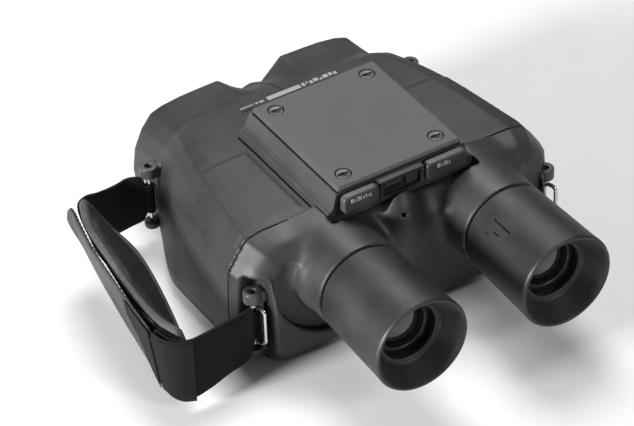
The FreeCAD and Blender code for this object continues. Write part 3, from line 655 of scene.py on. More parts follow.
# right half of the widest section, where the armour meets the rear cover
SEAM_OUTLINE = [(0, 61.7), (6, 61.7), (17, 61.7), (38, 61.7), (65, 61.7), (72.5, 60.0), (77.5, 53.4),
                (82, 46.5), (83, 30), (83, 12), (81, 3.2), (76, 0), (0, 0)]
BODY = Outline([
    (-29.0, SEAM_OUTLINE),
    (20.0, [(0, 61.7), (6, 61.7), (17, 61.7), (38, 61.7), (58, 61.5), (65, 59.5), (70.5, 53.0),
            (75.0, 45.0), (78.0, 30), (82.0, 10), (81.0, 2.6), (76, 0), (0, 0)]),
    (54.0, [(0, 58.5), (6, 58.5), (17, 59.0), (38, 59.3), (51, 58.8), (57, 56.6), (62, 51.0),
            (66.5, 43.0), (68.2, 29), (70, 9.5), (68.6, 2.8), (63, 0), (0, 0)]),
    (68.0, [(0, 54.0), (6, 53.8), (17, 54.2), (38, 53.8), (47, 52.6), (53, 50.0), (58.5, 44.5),
            (63, 37.0), (65, 25), (64, 10), (60.5, 3), (53, 0), (0, 0)]),
    (89.0, [(0, 42.4), (6, 40.6), (17, 51.3), (38, 50.8), (47, 49.4), (53, 47.4), (58.5, 40.5),
            (62.6, 31.0), (64, 20), (62.4, 9), (57.0, 3), (48, 0.6), (0, 0.6)])], CORNER_R)
COVER = Outline([
    (-50.0, [(0, 51.0), (6, 51.0), (17, 51.0), (38, 50.6), (57, 50.2), (63.0, 48.0), (68, 43.5),
             (71.5, 38.0), (73.4, 28), (73.2, 15), (70.5, 7.4), (64, 3.2), (0, 3.2)]),
    (-39.0, [(0, 60.2), (6, 60.2), (17, 60.2), (38, 60.0), (63, 59.6), (69.5, 57.5), (75.5, 51.0),
             (79.4, 45.0), (80.6, 30), (80.2, 12), (77.4, 4.2), (72, 0.3), (0, 0.3)]),
    (-29.0, SEAM_OUTLINE)], CORNER_R)


def grip_panel(ax, y, z):
    """1 on the slightly raised grip panel over each shoulder, 0 away from it."""
    outboard = 75.4 - (y + 3) * 0.066 - ax
    inside = np.minimum(np.minimum(ax - 41, outboard), np.minimum(y + 26, 22 - y))
    return np.clip(np.minimum(inside, z - 40) / 1.2, 0, 1)


def armour_field(side):
    """One half of the rubber skin, hollow inside, with its objective mouth and flats cut away."""
    def field(x, y, z):
        skin = BODY.distance(x, y, z) - 0.45 * grip_panel(abs(x), y, z)
        outer = smooth_max(smooth_max(skin, y - 89.4, 3.0), -28.9 - y, 0.8)
        casting = np.maximum(skin + 2.3, y - 84.2)
        hole = rod_field(x, z, (side * OBJ_X, OBJ_Z), 21.9 + np.clip(y - 84.4, 0, 9) * 0.42)
        shell = np.maximum(outer, -casting)
        shell = smooth_max(shell, -np.maximum(hole, 78 - y), 1.6)
        shell = np.maximum(shell, -box_field(x, y, z, (-38.1, -31, 50), (38.1, 33.6, 80), 0.6))
        shell = np.maximum(shell, -np.maximum(rod_field(x, y, (0, 0), 12.2), z - 5))
        shell = np.maximum(shell, -np.maximum(rod_field(x, z, (0, 20), 10.7), 78 - y))
        return smooth_max(shell, -side * x + 0.05, 0.3)
    return field


def build_armour():
    for side, name in SIDES:
        x0, x1 = sorted((side * -1.5, side * 86))
        obj = field_object("rubber_skin_" + name, armour_field(side), (x0, -31, -2), (x1, 92, 65), 1.0)
        finish_piece(obj, "armour_rubber", "body", ("armour_" + name, "hood_" + name))


COWL_END_Y = -66.2


def cover_field(x, y, z, front=-29.25):
    """Outside of the rear cover; front is where it is cut off towards the body."""
    shell = COVER.distance(x, y, z)
    shell = smooth_max(shell, -50.0 - y, 4.0)
    hump = np.sqrt(((x + 3) / 13.0) ** 2 + ((y + 38) / 16.0) ** 2 + ((z - 46) / 24.0) ** 2)
    shell = smooth_min(shell, (hump - 1) * 13, 4.0)
    ax = abs(x)
    eye = rod_field(ax, z, (EYE_X, EYE_Z), 0.0)
    pocket = np.maximum(np.maximum(abs(eye - 26.6) - 6.2, y + 45.6), z - 54 + (y + 50) * 0.3)
    shell = smooth_max(shell, -smooth_max(pocket, 38 - ax, 3.0), 2.0)
    cowl = smooth_max(eye - 21.7, y + 31, 1.0)
    shell = smooth_min(shell, cowl, 6.0)
    shell = smooth_max(shell, COWL_END_Y - y, 0.5)
    notch = box_field(ax, y, z, (71.3, -70, -8), (99, -35.3, 47.2), 2.0)
    shell = smooth_max(shell, -notch, 1.5)
    shell = np.maximum(shell, -box_field(x, y, z, (-38.2, -45.7, 59.0), (38.2, -20, 80), 1.0))
    dimple = np.sqrt(((x + 5) / 1.9) ** 2 + ((y + 47) / 6.0) ** 2 + ((z - 58) / 1.3) ** 2)
    return smooth_max(smooth_max(shell, -(dimple - 1) * 1.3, 0.4), y - front, 0.6)


def turned_in(ax, z, degrees):
    """Points seen in the frame of a turret that is turned in by this much."""
    a = math.radians(degrees)
    dx, dz = ax - OBJ_X, z - OBJ_Z
    return OBJ_X + dx * math.cos(a) + dz * math.sin(a), OBJ_Z - dx * math.sin(a) + dz * math.cos(a)


def hollow_cover_field(x, y, z):
    """The rear cover as a shell, open where the eyepiece necks swing."""
    outer = cover_field(x, y, z)
    ax = abs(x)
    neck = None
    for degrees in range(0, SWING_IN_DEG + 1, 4):
        tx, tz = turned_in(ax, z, degrees)
        disc_field = rod_field(tx, tz, (EYE_X, EYE_Z), 12.5)
        neck = disc_field if neck is None else np.minimum(neck, disc_field)
    inner = np.minimum(cover_field(x, y, z, -15.0) + 2.1, neck)
    return np.maximum(outer, -inner)


def build_rear_cover():
    obj = field_object("rear_shell", hollow_cover_field, (-86, -68, -2), (86, -27.5, 68), 0.9)
    finish_piece(obj, "cover_shell", "body", ("rear_cover",))


# ---------------------------------------------------------------- top block, plate, buttons

BLOCK_SIDE = [(37.6, 59.7), (37.6, 65.4), (36.7, 66.1), (36.4, 65.8), (36.0, 66.5), (35.0, 67.3),
              (33.2, 74.5)]
BLOCK_INSIDE = [(35.0, 50), (35.0, 64.6), (32.6, 66.6), (30.8, 80)]
BLOCK_FRONT_SLOPE = [(31.0, 75.5), (31.0, 74.6), (33.2, 66.0), (33.2, 59), (45, 59), (45, 75.5)]
# button: left edge, right edge, stem, start of its marks and their widths
BUTTONS = {"left": (-32.0, -13.6, -17.4, -28.6, (1.5, 0.7, 1.9, 1.1, 0.7, 1.7)),
           "right": (10.8, 32.0, 16.4, 16.0, (1.6, 0.8, 1.6, 0.8))}


def both_sides(right):
    return right + [(-x, z) for x, z in reversed(right)]


def build_block():
    block = prism("block_shell_body", both_sides(BLOCK_SIDE), "Y", -40.5, 33.2)
    carve(block, prism("wedge", BLOCK_FRONT_SLOPE, "X", -50, 50))
    bevel(block, 0.35, 2, 20)
    carve(block, prism("inner", both_sides(BLOCK_INSIDE), "Y", -38.0, 28.0))
    for _, _, x, _, _ in BUTTONS.values():
        carve(block, disc("stem_hole", 2.15, "Y", -42, -36, (x, 70), 32))
    finish_piece(block, "block_shell", "body", ("top_block",))


def build_plate():
    plate = prism("plate", rectangle(-32, 32, -40.2, 31.2, 1.6), "Z", 75.0, 77.0)
    with editing(plate.data) as work:
        top = [e for e in work.edges if all(v.co.z > 76.99 * MM for v in e.verts)]
        bmesh.ops.bevel(work, geom=top, offset=1.0 * MM, segments=1, profile=0.5, affect="EDGES")
    for place in PLATE_SCREWS:
        carve(plate, disc("seat", 3.85, "Z", 75.8, 78, place, 64))
        carve(plate, disc("hole", 1.5, "Z", 74, 78, place, 32))
    shade(plate.data, 30)
    bevel(plate, 0.16, 3, 20)
    finish_piece(plate, "plate_metal", "body", ("top_cover",))


def build_screws():
    """Four plate screws and four that hold the rear cover, in one node as in the CAD."""
    screws = []
    for x, y in PLATE_SCREWS:
        head = fillet([(75.8, 0.01), (75.8, 3.5), (76.95, 3.5), (76.95, 0.01)], [0, 0.1, 0.45, 0], 4)
        screw = lathe_z("head", head, x, y, 64)
        carve(screw, prism("slot", rectangle(x - 2.7, x + 2.7, y - 0.42, y + 0.42), "Z", 76.3, 78))
        screws.append(bevel(screw, 0.08, 2, 40))
        screws.append(disc("shank", 1.2, "Z", 66.5, 75.9, (x, y), 24))
    for x in REAR_SCREWS_X:
        z = REAR_SCREWS_Z
        head = fillet([(-47.4, 0.01), (-47.4, 2.4), (-49.3, 2.4), (-49.3, 0.01)], [0, 0, 0.4, 0], 4)
        screw = lathe("head", head, x, z, 40)
        carve(screw, prism("slot", rectangle(x - 1.8, x + 1.8, z - 0.35, z + 0.35), "Y", -50, -48.8))
        screws.append(screw)
        screws.append(disc("shank", 1.0, "Y", -48.0, -24.0, (x, z), 20))
    finish_piece(join("slotted_screws", screws), "screw_steel", "body", ("cover_screws",))


def soft_key(name, x0, x1):
    """Rounded key face, slightly domed towards the rear."""
    z0, z1, back, front, crown = 65.4, 74.4, -42.0, -45.3, 0.35
    ring = rectangle(x0, x1, z0, z1, 2.6, 8)
    cx, cz = (x0 + x1) / 2, (z0 + z1) / 2
    layers = [(1, 1, back)]
    for inset, lift in ((0.0, 0.9), (0.12, 0.4), (0.45, 0.08), (0.9, 0.0)):
        layers.append((1 - inset / (x1 - cx), 1 - inset / (z1 - cz), front + lift))
    for shrink in (0.8, 0.6, 0.4, 0.2):
        layers.append((shrink * 0.93, shrink * 0.83, front - crown * (1 - shrink ** 2)))
    points = [(cx + (x - cx) * wide, y, cz + (z - cz) * tall) for wide, tall, y in layers for x, z in ring]
    return outward(new_object(name, points, tube_faces(len(layers), len(ring)), 50))


def build_key_marks(name, x, widths):
    """Plain bars in place of the lettering on a key."""
    marks = []
    for i, wide in enumerate(widths):
        top = 71.1 + (1.5 if i % 2 else 1.9)
        marks.append(prism("mark", rectangle(x, x + wide, 71.1, top, 0.25, 3), "Y", -45.78, -45.2))
        x += wide + 0.55
    finish_piece(join("key_marks_" + name, marks), "print_white", name + "_button")


def build_buttons():
    for name, (x0, x1, stem, marks_start, mark_widths) in BUTTONS.items():
        shaft = disc("stem", 2.0, "Y", -42.3, -37.2, (stem, 70), 32)
        key = join("key_" + name, [soft_key("key", x0, x1), shaft])
        finish_piece(key, "button_rubber", name + "_button", ("button_" + name,))
        build_key_marks(name, marks_start, mark_widths)


def build_recess():
    panel = prism("panel", rectangle(-12.8, 10.0, 64.2, 74.4, 0.7), "Y", -44.2, -40.52)
    carve(panel, prism("recess", rectangle(-11.2, 8.4, 65.8, 72.8, 0.6), "Y", -45, -41.6))
    bevel(panel, 0.25, 3, 40)
    rib = prism("rib", rectangle(-10.2, -1.0, 70.3, 71.9, 0.5), "Y", -43.4, -41.5)
    port = prism("port", rectangle(1.2, 7.2, 67.0, 71.6, 0.9), "Y", -42.5, -41.5)
    finish_piece(join("recess_frame", [panel, rib, port]), "inner_plastic", "body", ("recess_panel",))


def strip_spans():
    """Left, right, rear and front edge of each bar: four long ones and eight short ones in a row."""
    spans = [(-25.6, -18.6, 52.2, 52.9), (-17.6, -16.2, 51.9, 53.1), (-15.4, -13.4, 51.7, 53.1),
             (-11.2, 6.2, 50.9, 54.0)]
    x = 7.4
    for wide, low, high in ((1.3, 51.2, 54.0), (1.0, 52.6, 53.8), (1.5, 51.0, 53.4), (2.2, 51.4, 54.0),
                            (1.1, 51.0, 52.6), (2.4, 51.2, 53.8), (1.6, 51.6, 54.0), (1.4, 51.0, 53.2)):
        spans.append((x, x + wide, low, high))
        x += wide + 0.8
    return spans


def build_marking_strip():
    """Plain light bars on the slope in front of the block."""
    pivot = Matrix.Translation((0, 52.4 * MM, 59.8 * MM))
    tilt = pivot @ Matrix.Rotation(math.radians(-5.4), 4, "X") @ pivot.inverted()
    base = prism("strip", rectangle(-26, 26, 50.4, 54.4, 0.4), "Z", 58.6, 59.86)
    base.data.transform(tilt)
    finish_piece(base, "armour_rubber", "body", ("marking_strip",))
    bars = []
    for x0, x1, y0, y1 in strip_spans():
        bar = prism("bar", rectangle(x0, x1, y0, y1, 0.25, 3), "Z", 59.7, 60.02)
        bar.data.transform(tilt)
        bars.append(bar)
    finish_piece(join("strip_bars", bars), "print_white", "body")


# ---------------------------------------------------------------- optics

def build_optics():
    """Front lens and its ring, eye lenses and their cell, on each side."""
    ring = fillet([(76.0, 20.8), (76.0, 19.2), (77.4, 19.2), (78.4, 20.1), (78.4, 20.8)],
                  [0.2, 0.2, 0.3, 0.3, 0.2], 4)
    lens = domed_disc(20.8, 71.95, 75.6, 0.5, 1.55)
    cell = fillet([(-97.0, 13.0), (-97.0, 10.8), (-97.9, 10.8), (-98.4, 11.6), (-98.4, 14.5), (-98.0, 14.95),
                   (-71.8, 14.95), (-71.8, 13.0), (-72.3, 13.0), (-72.3, 9.0), (-73.8, 9.0), (-73.8, 13.0)],
                  0.12, 3)
    for side, name in SIDES:
        x, eye_x = side * OBJ_X, side * EYE_X
        finish_piece(lathe("objective_bezel_" + name, ring, x, OBJ_Z), "black_metal", "body",
                     ("objective_ring_" + name,))
        finish_piece(lathe("objective_glass_" + name, lens, x, OBJ_Z), "coated_glass", "body",
                     ("objective_lens_" + name,))
        finish_piece(lathe("ocular_cell_" + name, cell, eye_x, EYE_Z), "black_metal", "lens_group_" + name,
                     ("lens_cell_" + name,))
        front = lathe("front", domed_disc(12.9, -96.3, -91.0, 3.6, 0.6, 14), eye_x, EYE_Z)
        back = lathe("back", domed_disc(12.9, -82.0, -77.0, 0.8, 1.55), eye_x, EYE_Z)
        finish_piece(join("ocular_glass_" + name, [front, back]), "coated_glass", "lens_group_" + name,
                     ("eye_lenses_" + name,))


def domed_disc(r, y_back, y_front, bulge_back, bulge_front, steps=10):
    """Profile of a lens: straight rim between y_back and y_front, a shallow dome on each face."""
    out = [k / steps for k in range(steps + 1)]
    back = [(y_back - bulge_back * (1 - t * t), max(r * t, 0.01)) for t in out]
    front = [(y_front + bulge_front * (1 - t * t), max(r * t, 0.01)) for t in reversed(out)]
    return back + front


# (y, r) round the sleeve's section, each with its corner radius
EYECUP = [(-67.95, 17.1, 0.1), (-67.95, 21.3, 0.3), (-68.4, 21.72, 0.5), (-90.0, 22.35, 3),
          (-106.0, 22.75, 3), (-112.2, 23.1, 1.0), (-113.45, 22.6, 0.6), (-113.45, 21.6, 0.6),
          (-112.4, 20.9, 1.2), (-104.2, 15.6, 0.4), (-103.4, 14.7, 0.25), (-103.4, 14.0, 0.25),
          (-102.9, 13.3, 0.2),
          (-101.6, 13.3, 0.1), (-101.6, 17.1, 0.1)]
# angle, rear end, front end and width of the scale grooves on the right sleeve
EYECUP_GROOVES = ((128, -90.0, -78.0, 0.9), (139, -86.0, -82.0, 0.7), (146, -80.5, -77.5, 0.7))


def groove_cutter(angle, y0, y1, wide):
    groove = prism("groove", rectangle(-wide / 2, wide / 2, y0, y1, wide * 0.45, 4), "Z", 21.4, 24)
    turn = Matrix.Rotation(math.pi / 2 - math.radians(angle), 4, "Y")
    groove.data.transform(Matrix.Translation((EYE_X * MM, 0, EYE_Z * MM)) @ turn)
    return groove


def build_eyepieces():
    base = fillet([(-66.5, 12.0), (-66.5, 20.4), (-67.6, 20.4), (-67.6, 17.0), (-101.0, 17.0), (-101.0, 15.0),
                   (-69.0, 15.0), (-69.0, 10.0), (-47.4, 10.0), (-47.4, 12.0)], 0.2, 3)
    cup = fillet([(y, r) for y, r, _ in EYECUP], [corner for _, _, corner in EYECUP], 5)
    for side, name in SIDES:
        x = side * EYE_X
        finish_piece(lathe("ocular_base_" + name, base, x, EYE_Z), "barrel_shell", "turret_" + name,
                     ("eyepiece_base_" + name,))
        sleeve = lathe("ocular_cup_" + name, cup, x, EYE_Z, 128)
        for groove in EYECUP_GROOVES if name == "right" else ():
            carve(sleeve, groove_cutter(*groove))
        shade(sleeve.data, 40)
        finish_piece(sleeve, "eyecup_rubber", "eyecup_body_" + name, ("eyecup_" + name,))


# ---------------------------------------------------------------- lugs and bails

REAR_LUG = (77.0, -40.4, 41.5)
FRONT_LUG = (70.6, 60.0, 43.0)
EAR_HEIGHT = 34.4
PIN_HOLE_R = 1.12
BAIL_R = 0.98
# loop: side of the body, place, and the angle it rests at, in degrees from the X axis
BAILS = {"rear_left": (-1, REAR_LUG, 295), "front_left": (-1, FRONT_LUG, 75),
         "rear_right": (1, REAR_LUG, -70), "front_right": (1, FRONT_LUG, -45)}


def build_lug(side, name, place):
    """Two ears on a post, with an arm into the body; the loop's pin stands between the ears."""
    x, y, z = place
    foot = z - EAR_HEIGHT
    top_ring = [(z - 5.6, PIN_HOLE_R), (z - 5.6, 4.15), (z, 4.15), (z, 1.8), (z - 0.9, 1.6), (z - 1.7, 1.5),
                (z - 1.8, PIN_HOLE_R)]
    low_ring = [(foot, PIN_HOLE_R), (foot, 3.55), (foot + 3.2, 3.55), (foot + 3.2, PIN_HOLE_R)]
    top = lathe_z("top", fillet(top_ring, [0.1, 0.7, 0.9, 0.4, 0.1, 0.1, 0.1]), side * x, y)
    low = lathe_z("low", fillet(low_ring, [0.1, 0.8, 0.6, 0.1]), side * x, y)

    def block(part, inner, outer, half, radius, z0, z1):
        left, right = sorted((side * (x - inner), side * (x - outer)))
        return bevel(prism(part, rectangle(left, right, y - half, y + half, radius, 4), "Z", z0, z1), 0.3, 3)

    post = block("post", 4.2, 2.5, 2.6, 0.4, foot + 0.4, z - 0.4)
    arm = block("arm", 8.8, 2.0, 3.0, 0.5, z - 6.2, z - 0.9)
    finish_piece(join("strap_ear_" + name, [top, low, post, arm]), "lug_metal", "body", ("lug_" + name,))


def swept(name, path, r, closed=False, segments=16):
    """Round wire along a path of points."""
    path = [np.array(p, float) for p in path]
    n = len(path)
    points = []
    across = None
    for i, p in enumerate(path):
        before = path[i - 1] if closed or i else path[i]
        after = path[(i + 1) % n] if closed or i < n - 1 else path[i]
        run = after - before
        run /= np.linalg.norm(run)
        if across is None:
            across = np.cross(run, (0.31, 0.87, 0.38))
        across = across - run * (across @ run)
        across /= np.linalg.norm(across)
        other = np.cross(run, across)
        for s in range(segments):
            a = 2 * math.pi * s / segments
            points.append(p + r * (math.cos(a) * across + math.sin(a) * other))
    return outward(new_object(name, points, tube_faces(n, segments, closed), 60))


def build_bail(side, name, place, swing):
    """Wire loop on its upright pin, turned to the angle it rests at."""
    x, y, z = place
    top, bottom, out = z - 3.4, z - EAR_HEIGHT + 1.0, 6.0
    ring = fillet([(0, top - 5.4), (out, top - 5.4), (out, bottom + 5.4), (0, bottom + 5.4)], 2.6, 8)
    a = math.radians(swing)
    path = [(side * x + u * math.cos(a), y + u * math.sin(a), w) for u, w in ring]
    loop = swept("loop", path, BAIL_R, True)
    pin = swept("pin", [(side * x, y, w) for w in np.linspace(bottom, top, 12)], BAIL_R)
    finish_piece(join("wire_loop_" + name, [loop, pin]), "bail_steel", name + "_bail", ("bail_" + name,))


def build_lugs_and_bails():
    for name, (side, place, _) in BAILS.items():
        build_lug(side, name, place)
    for name, (side, place, swing) in BAILS.items():
        build_bail(side, name, place, swing)


# ---------------------------------------------------------------- strap

# each ribbon is a list of stations: a point on its top edge and the point on its bottom edge
WEB_REAR = [((-77.6, -42.04, 30.8), (-77.6, -42.04, 15.4)), ((-79.4, -43.5, 35.2), (-79.4, -43.5, 11.0)),
            ((-84.6, -47.2, 37.4), (-84.6, -47.2, 9.5)), ((-95, -49.0, 38.2), (-95, -49.0, 8.6)),
            ((-106, -50.2, 38.0), (-106, -51.0, 7.0)), ((-114.5, -50.2, 38.0), (-115, -51.4, 6.2)),
            ((-121.4, -45.4, 38.4), (-120.4, -46.6, 6.4)), ((-124.2, -36.6, 39.0), (-121.2, -38.0, 7.4))]
WEB_FRONT = [((-71.76, 61.31, 32.3), (-71.76, 61.31, 16.9)), ((-73.6, 62.0, 36.8), (-73.6, 62.0, 12.3)),
             ((-79.6, 64.4, 37.5), (-79.6, 64.4, 9.6)), ((-87, 63.4, 37.2), (-87, 63.4, 9.6)),
             ((-97, 60.8, 39.2), (-95, 60.2, 11.5)), ((-104.4, 58.0, 42.4), (-98.6, 57.4, 14.6)),
             ((-110.6, 54.4, 43), (-103.2, 54.6, 15.5)), ((-113.4, 48, 42), (-105.4, 50, 14.8)),
             ((-117.2, 33, 42.0), (-105.6, 33, 13)), ((-119.6, 12, 39.8), (-107, 12, 10)),
             ((-122.5, -13, 38.2), (-111.5, -13, 9)), ((-122.6, -30, 38.0), (-116.0, -31, 8)),
             ((-120.4, -41, 37.8), (-115.6, -42, 8)), ((-118.4, -45.0, 37.2), (-115.2, -45.6, 8))]
PAD = [((-112.0, -45.0, 38), (-109.6, -45.4, 15)), ((-117.2, -31, 40), (-106.4, -33, 18)),
       ((-118.6, -12, 42), (-101.4, -14, 20)), ((-117.2, 12, 45), (-96.4, 12, 23)),
       ((-114.6, 34, 47.4), (-94.6, 32, 25)), ((-107.6, 51.0, 48.4), (-98.6, 48.6, 29))]
FLAP = [((-126.6, -37.0, 39.4), (-123.4, -39.5, 7.6)), ((-126.4, -20, 41.8), (-120.4, -20.5, 9.4)),
        ((-125.0, 0, 43.8), (-117.6, 0.5, 10.8)), ((-123.2, 20, 45.4), (-114.4, 22, 12.2)),
        ((-119.8, 38, 46.4), (-111.6, 42, 15.0)), ((-117.4, 47, 45.8), (-111.2, 52, 20.0)),
        ((-116.4, 52, 44.5), (-114.2, 59.0, 30.0))]
FLAP_ROOT = [((-113.8, -52.2, 38.6), (-114.2, -53.4, 5.6)), ((-119.8, -49.4, 38.8), (-119.4, -50.8, 5.8)),
             ((-124.3, -44.6, 39.0), (-122.4, -46.2, 6.4)), ((-126.5, -37.6, 39.4), (-123.5, -40.0, 7.4))]
# dark webbing tab over the flap's rear end, cut on the slant: a dark sheet that paints the shade where the
# flap turns towards the rear
FLAP_SHADE_TAB = [((-127.2, -36.6, 39.4), (-124.0, -39.3, 7.8)), ((-127.1, -30, 40.4), (-123.4, -31, 12.0)),
            ((-126.8, -22, 41.6), (-123.6, -23, 22.0)), ((-126.6, -15, 42.6), (-125.4, -15, 34.0))]
STRAP_ACROSS = 18
WEB_THICK = 1.8
PAD_THICK = 4.0
# bottom and top of the straight leg of each loop, which the webbing is sewn round
REAR_LEG = (15.4, 30.8)
FRONT_LEG = (16.9, 32.3)


def smooth_stations(stations, count):
    """Evenly spaced stations on a Catmull-Rom curve through the given edge points."""
    pairs = np.array([(*top, *bottom) for top, bottom in stations], float)
    padded = np.vstack([2 * pairs[0] - pairs[1], pairs, 2 * pairs[-1] - pairs[-2]])
    dense = []
    for i in range(1, len(padded) - 2):
        p0, p1, p2, p3 = padded[i - 1:i + 3]
        for t in np.linspace(0, 1, 24, endpoint=False):
            dense.append(0.5 * (2 * p1 + (p2 - p0) * t + (2 * p0 - 5 * p1 + 4 * p2 - p3) * t * t
                                + (3 * p1 - p0 - 3 * p2 + p3) * t ** 3))
    dense = np.array(dense + [padded[-2]])
    middle = (dense[:, :3] + dense[:, 3:]) / 2
    length = np.concatenate([[0], np.cumsum(np.linalg.norm(np.diff(middle, axis=0), axis=1))])
    at = np.linspace(0, length[-1], count)
    even = np.stack([np.interp(at, length, dense[:, k]) for k in range(6)], 1)
    return even, at


def strap_frames(stations, count):
    """Middle, direction across, normal, width and distance along the strap at each station."""
    even, at = smooth_stations(stations, count)
    top, bottom = even[:, :3], even[:, 3:]
    middle = (top + bottom) / 2
    run = np.gradient(middle, axis=0)
    across = top - bottom
    width = np.linalg.norm(across, axis=1)
    normal = np.cross(run, across)
    normal /= np.linalg.norm(normal, axis=1)[:, None]
    return middle, across / width[:, None], normal, width, at


def strap_section(thick, corner):
    """Ring of (place across from -1 to 1, depth in mm) of a strap with softened edges."""
    places = np.linspace(-1, 1, STRAP_ACROSS)
    soft = [corner if abs(place) == 1 else 0 for place in places]
    inner = list(zip(places, soft))
    return inner + [(place, thick - depth) for place, depth in reversed(inner)]


def strap_half_width(width, near_end, end_round):
    if near_end >= end_round:
        return width / 2
    return width / 2 - (end_round - math.sqrt(end_round ** 2 - (end_round - near_end) ** 2)) * 0.9


def strap_mesh(name, stations, thick, outward_sign, count=90, corner=0.5, end_round=0.0, shrink=0.0):
    """A ribbon with its UV map in metres; shrink leaves room for the pad to swell into."""
    middle, across, normal, width, at = strap_frames(stations, count)
    ring = strap_section(thick - 2 * shrink, corner)
    n = len(ring)
    points, uv = [], []
    for i in range(count):
        half = strap_half_width(width[i], min(at[i], at[-1] - at[i]), end_round) - shrink
        for s, depth in ring:
            edge = 0.25 if abs(s) == 1 else 0
            lift = (depth + shrink) * outward_sign
            points.append(middle[i] + across[i] * (s * (half - edge)) + normal[i] * lift)
            uv.append((at[i] * MM, s * width[i] / 2 * MM))
    faces = tube_faces(count, n)[:-2]
    for first in (0, (count - 1) * n):
        faces += [(first + k, first + k + 1, first + n - 2 - k, first + n - 1 - k) for k in range(n // 2 - 1)]
    obj = new_object(name, points, faces, 50)
    layer = obj.data.uv_layers.new(name="strap")
    corners = np.empty(len(obj.data.loops), np.int64)
    obj.data.loops.foreach_get("vertex_index", corners)
    layer.data.foreach_set("uv", np.array(uv, np.float32)[corners].ravel())
    with editing(obj.data) as work:
        bmesh.ops.recalc_face_normals(work, faces=work.faces)
    return obj


def puff(obj, voxel, cap, frames=20):
    """Swells a closed soft piece with cloth pressure; no point moves further than cap millimetres."""
    remesh = obj.modifiers.new("remesh", "REMESH")
    remesh.mode = "VOXEL"
    remesh.voxel_size = voxel * MM
    apply_modifiers(obj)
    count = len(obj.data.vertices)
    start = np.empty(count * 3)
    obj.data.vertices.foreach_get("co", start)
    cloth = obj.modifiers.new("cloth", "CLOTH")
    cloth.settings.use_pressure = True
    cloth.settings.uniform_pressure_force = 4.0
    cloth.settings.effector_weights.gravity = 0
    cloth.point_cache.frame_start = 1
    cloth.point_cache.frame_end = frames
    scene = bpy.context.scene
    for step in range(1, frames + 1):
        scene.frame_set(step)
    swollen = obj.evaluated_get(bpy.context.evaluated_depsgraph_get())
    moved = np.empty(count * 3)
    swollen.data.vertices.foreach_get("co", moved)
    obj.modifiers.remove(cloth)
    scene.frame_set(1)
    shift = (moved - start).reshape(-1, 3)
    length = np.linalg.norm(shift, axis=1)[:, None]
    shift *= np.minimum(1, cap * MM / np.maximum(length, 1e-12))
    obj.data.vertices.foreach_set("co", (start.reshape(-1, 3) + shift).ravel())
    obj.modifiers.new("smooth", "SUBSURF").levels = 1
    apply_modifiers(obj)
    obj.data.shade_smooth()


def pad_binding():
    """Rolled edge sewn round the pad, in the middle of its thickness."""
    middle, across, normal, width, at = strap_frames(PAD, 90)
    keep = (at > 2.0) & (at < at[-1] - 2.0)
    centre = middle[keep] - normal[keep] * (PAD_THICK / 2)
    reach = across[keep] * (width[keep] / 2 - 0.9)[:, None]
    path = np.vstack([centre + reach, (centre - reach)[::-1]])
    path = (np.roll(path, 1, axis=0) + path * 2 + np.roll(path, -1, axis=0)) / 4
    return swept("pad_binding", path, 2.1, True, 14)


def sewn_loop(name, x, y, z0, z1):
    ring = fillet([(z0, 1.25), (z0, 2.1), (z1, 2.1), (z1, 1.25)], [0.1, 0.3, 0.3, 0.1], 4)
    return lathe_z(name, ring, x, y, 32)


def build_flap_thread(pitch=3.0, inset=2.4):
    """Rows of thread along both long edges of the flap, proud of its outer face."""
    middle, across, normal, width, at = strap_frames(FLAP, 200)
    table = np.column_stack([middle, across, normal, width])
    reach = pitch * 0.62
    pieces = []
    for row in (1, -1):
        s = 4.0
        while s + reach < at[-1] - 1.5:
            path = []
            for t in np.linspace(s, s + reach, 5):
                here = np.array([np.interp(t, at, column) for column in table.T])
                lift = WEB_THICK + 0.12 - 0.2 * abs((t - s) / (reach / 2) - 1)
                path.append(here[:3] + here[3:6] * row * (here[9] / 2 - inset) + here[6:9] * lift)
            pieces.append(swept("stitch", path, 0.22, False, 6))
            s += pitch
    finish_piece(join("flap_thread", pieces), "stitching", "leather_flap")


def build_webs():
    for name, stations, sign, count, lug, leg in (("rear", WEB_REAR, 1, 110, REAR_LUG, REAR_LEG),
                                                  ("front", WEB_FRONT, -1, 70, FRONT_LUG, FRONT_LEG)):
        web = strap_mesh("web", stations, WEB_THICK, sign, count, corner=0.3)
        wrap = sewn_loop("wrap", -lug[0], lug[1], *leg)
        finish_piece(join_keep_uv("webbing_" + name, web, wrap), "strap_webbing", "body", ("web_" + name,))


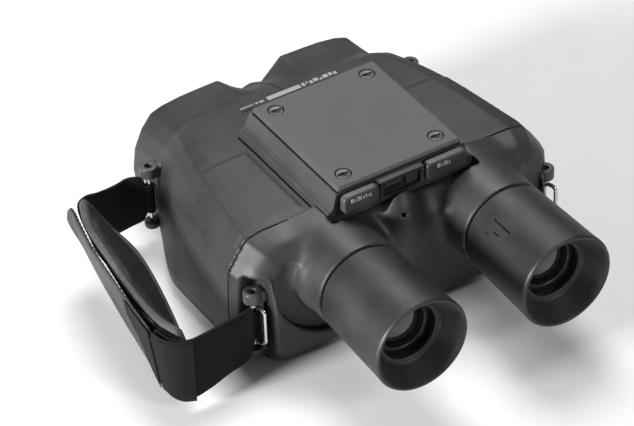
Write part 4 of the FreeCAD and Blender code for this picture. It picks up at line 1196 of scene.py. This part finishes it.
def build_pad():
    pad = strap_mesh("hand_pad", PAD, PAD_THICK, -1, corner=1.0, end_round=5.0, shrink=0.5)
    puff(pad, 1.7, 1.3)
    finish_piece(pad, "pad_leather", "body", ("strap_pad",))
    finish_piece(pad_binding(), "binding_leather", "body")


def build_flap():
    flap = strap_mesh("hand_flap", FLAP, WEB_THICK, 1, end_round=4.0)
    finish_piece(flap, "flap_leather", "leather_flap", ("strap_flap",))
    root = strap_mesh("flap_root", FLAP_ROOT, 1.5, 1, 50)
    finish_piece(root, "strap_webbing", "body")
    # dark sheet of painted shade over the flap's rear end
    shade_tab = strap_mesh("flap_shade_tab", FLAP_SHADE_TAB, 0.5, 1, 50, corner=0.15)
    finish_piece(shade_tab, "strap_webbing", "leather_flap")
    build_flap_thread()


def join_keep_uv(name, strap, wrap):
    """The strap keeps its UV map and the wrap gets a flat one."""
    layer = wrap.data.uv_layers.new(name="strap")
    for loop in wrap.data.loops:
        co = wrap.data.vertices[loop.vertex_index].co
        layer.data[loop.index].uv = (co.x + co.y, co.z)
    return join(name, [strap, wrap])


MATERIALS = make_materials()
SLOT_OF = {s["node"]: s["material_slot"] for s in frame["record"]["subparts"]}


def dress_cad_nodes():
    """Every CAD node gets the procedural material of its record slot."""
    for node, obj in frame["nodes"].items():
        obj.data.materials.clear()
        obj.data.materials.append(MATERIALS[SLOT_OF[node]])


def build_floor():
    mesh = bpy.data.meshes.new("floor")
    mesh.from_pydata([(x, y, 0) for x, y in rectangle(-6, 6, -6, 6)], [], [(0, 1, 2, 3)])
    floor = add_object("floor", mesh)
    mat, tree, shader = node_tree("floor_paper")
    paper = noise(tree, coordinates(tree), 60.0)
    pale = mix_colour(tree, paper, (0.74, 0.74, 0.74), (0.78, 0.78, 0.78))
    feed(tree, shader, {"Base Color": pale, "Roughness": 0.9})
    mesh.materials.append(mat)


place_camera()
light_studio()
build_floor()
dress_cad_nodes()
build_armour()
build_rear_cover()
build_block()
build_plate()
build_screws()
build_buttons()
build_recess()
build_marking_strip()
build_optics()
build_eyepieces()
build_lugs_and_bails()
build_webs()
build_pad()
build_flap()
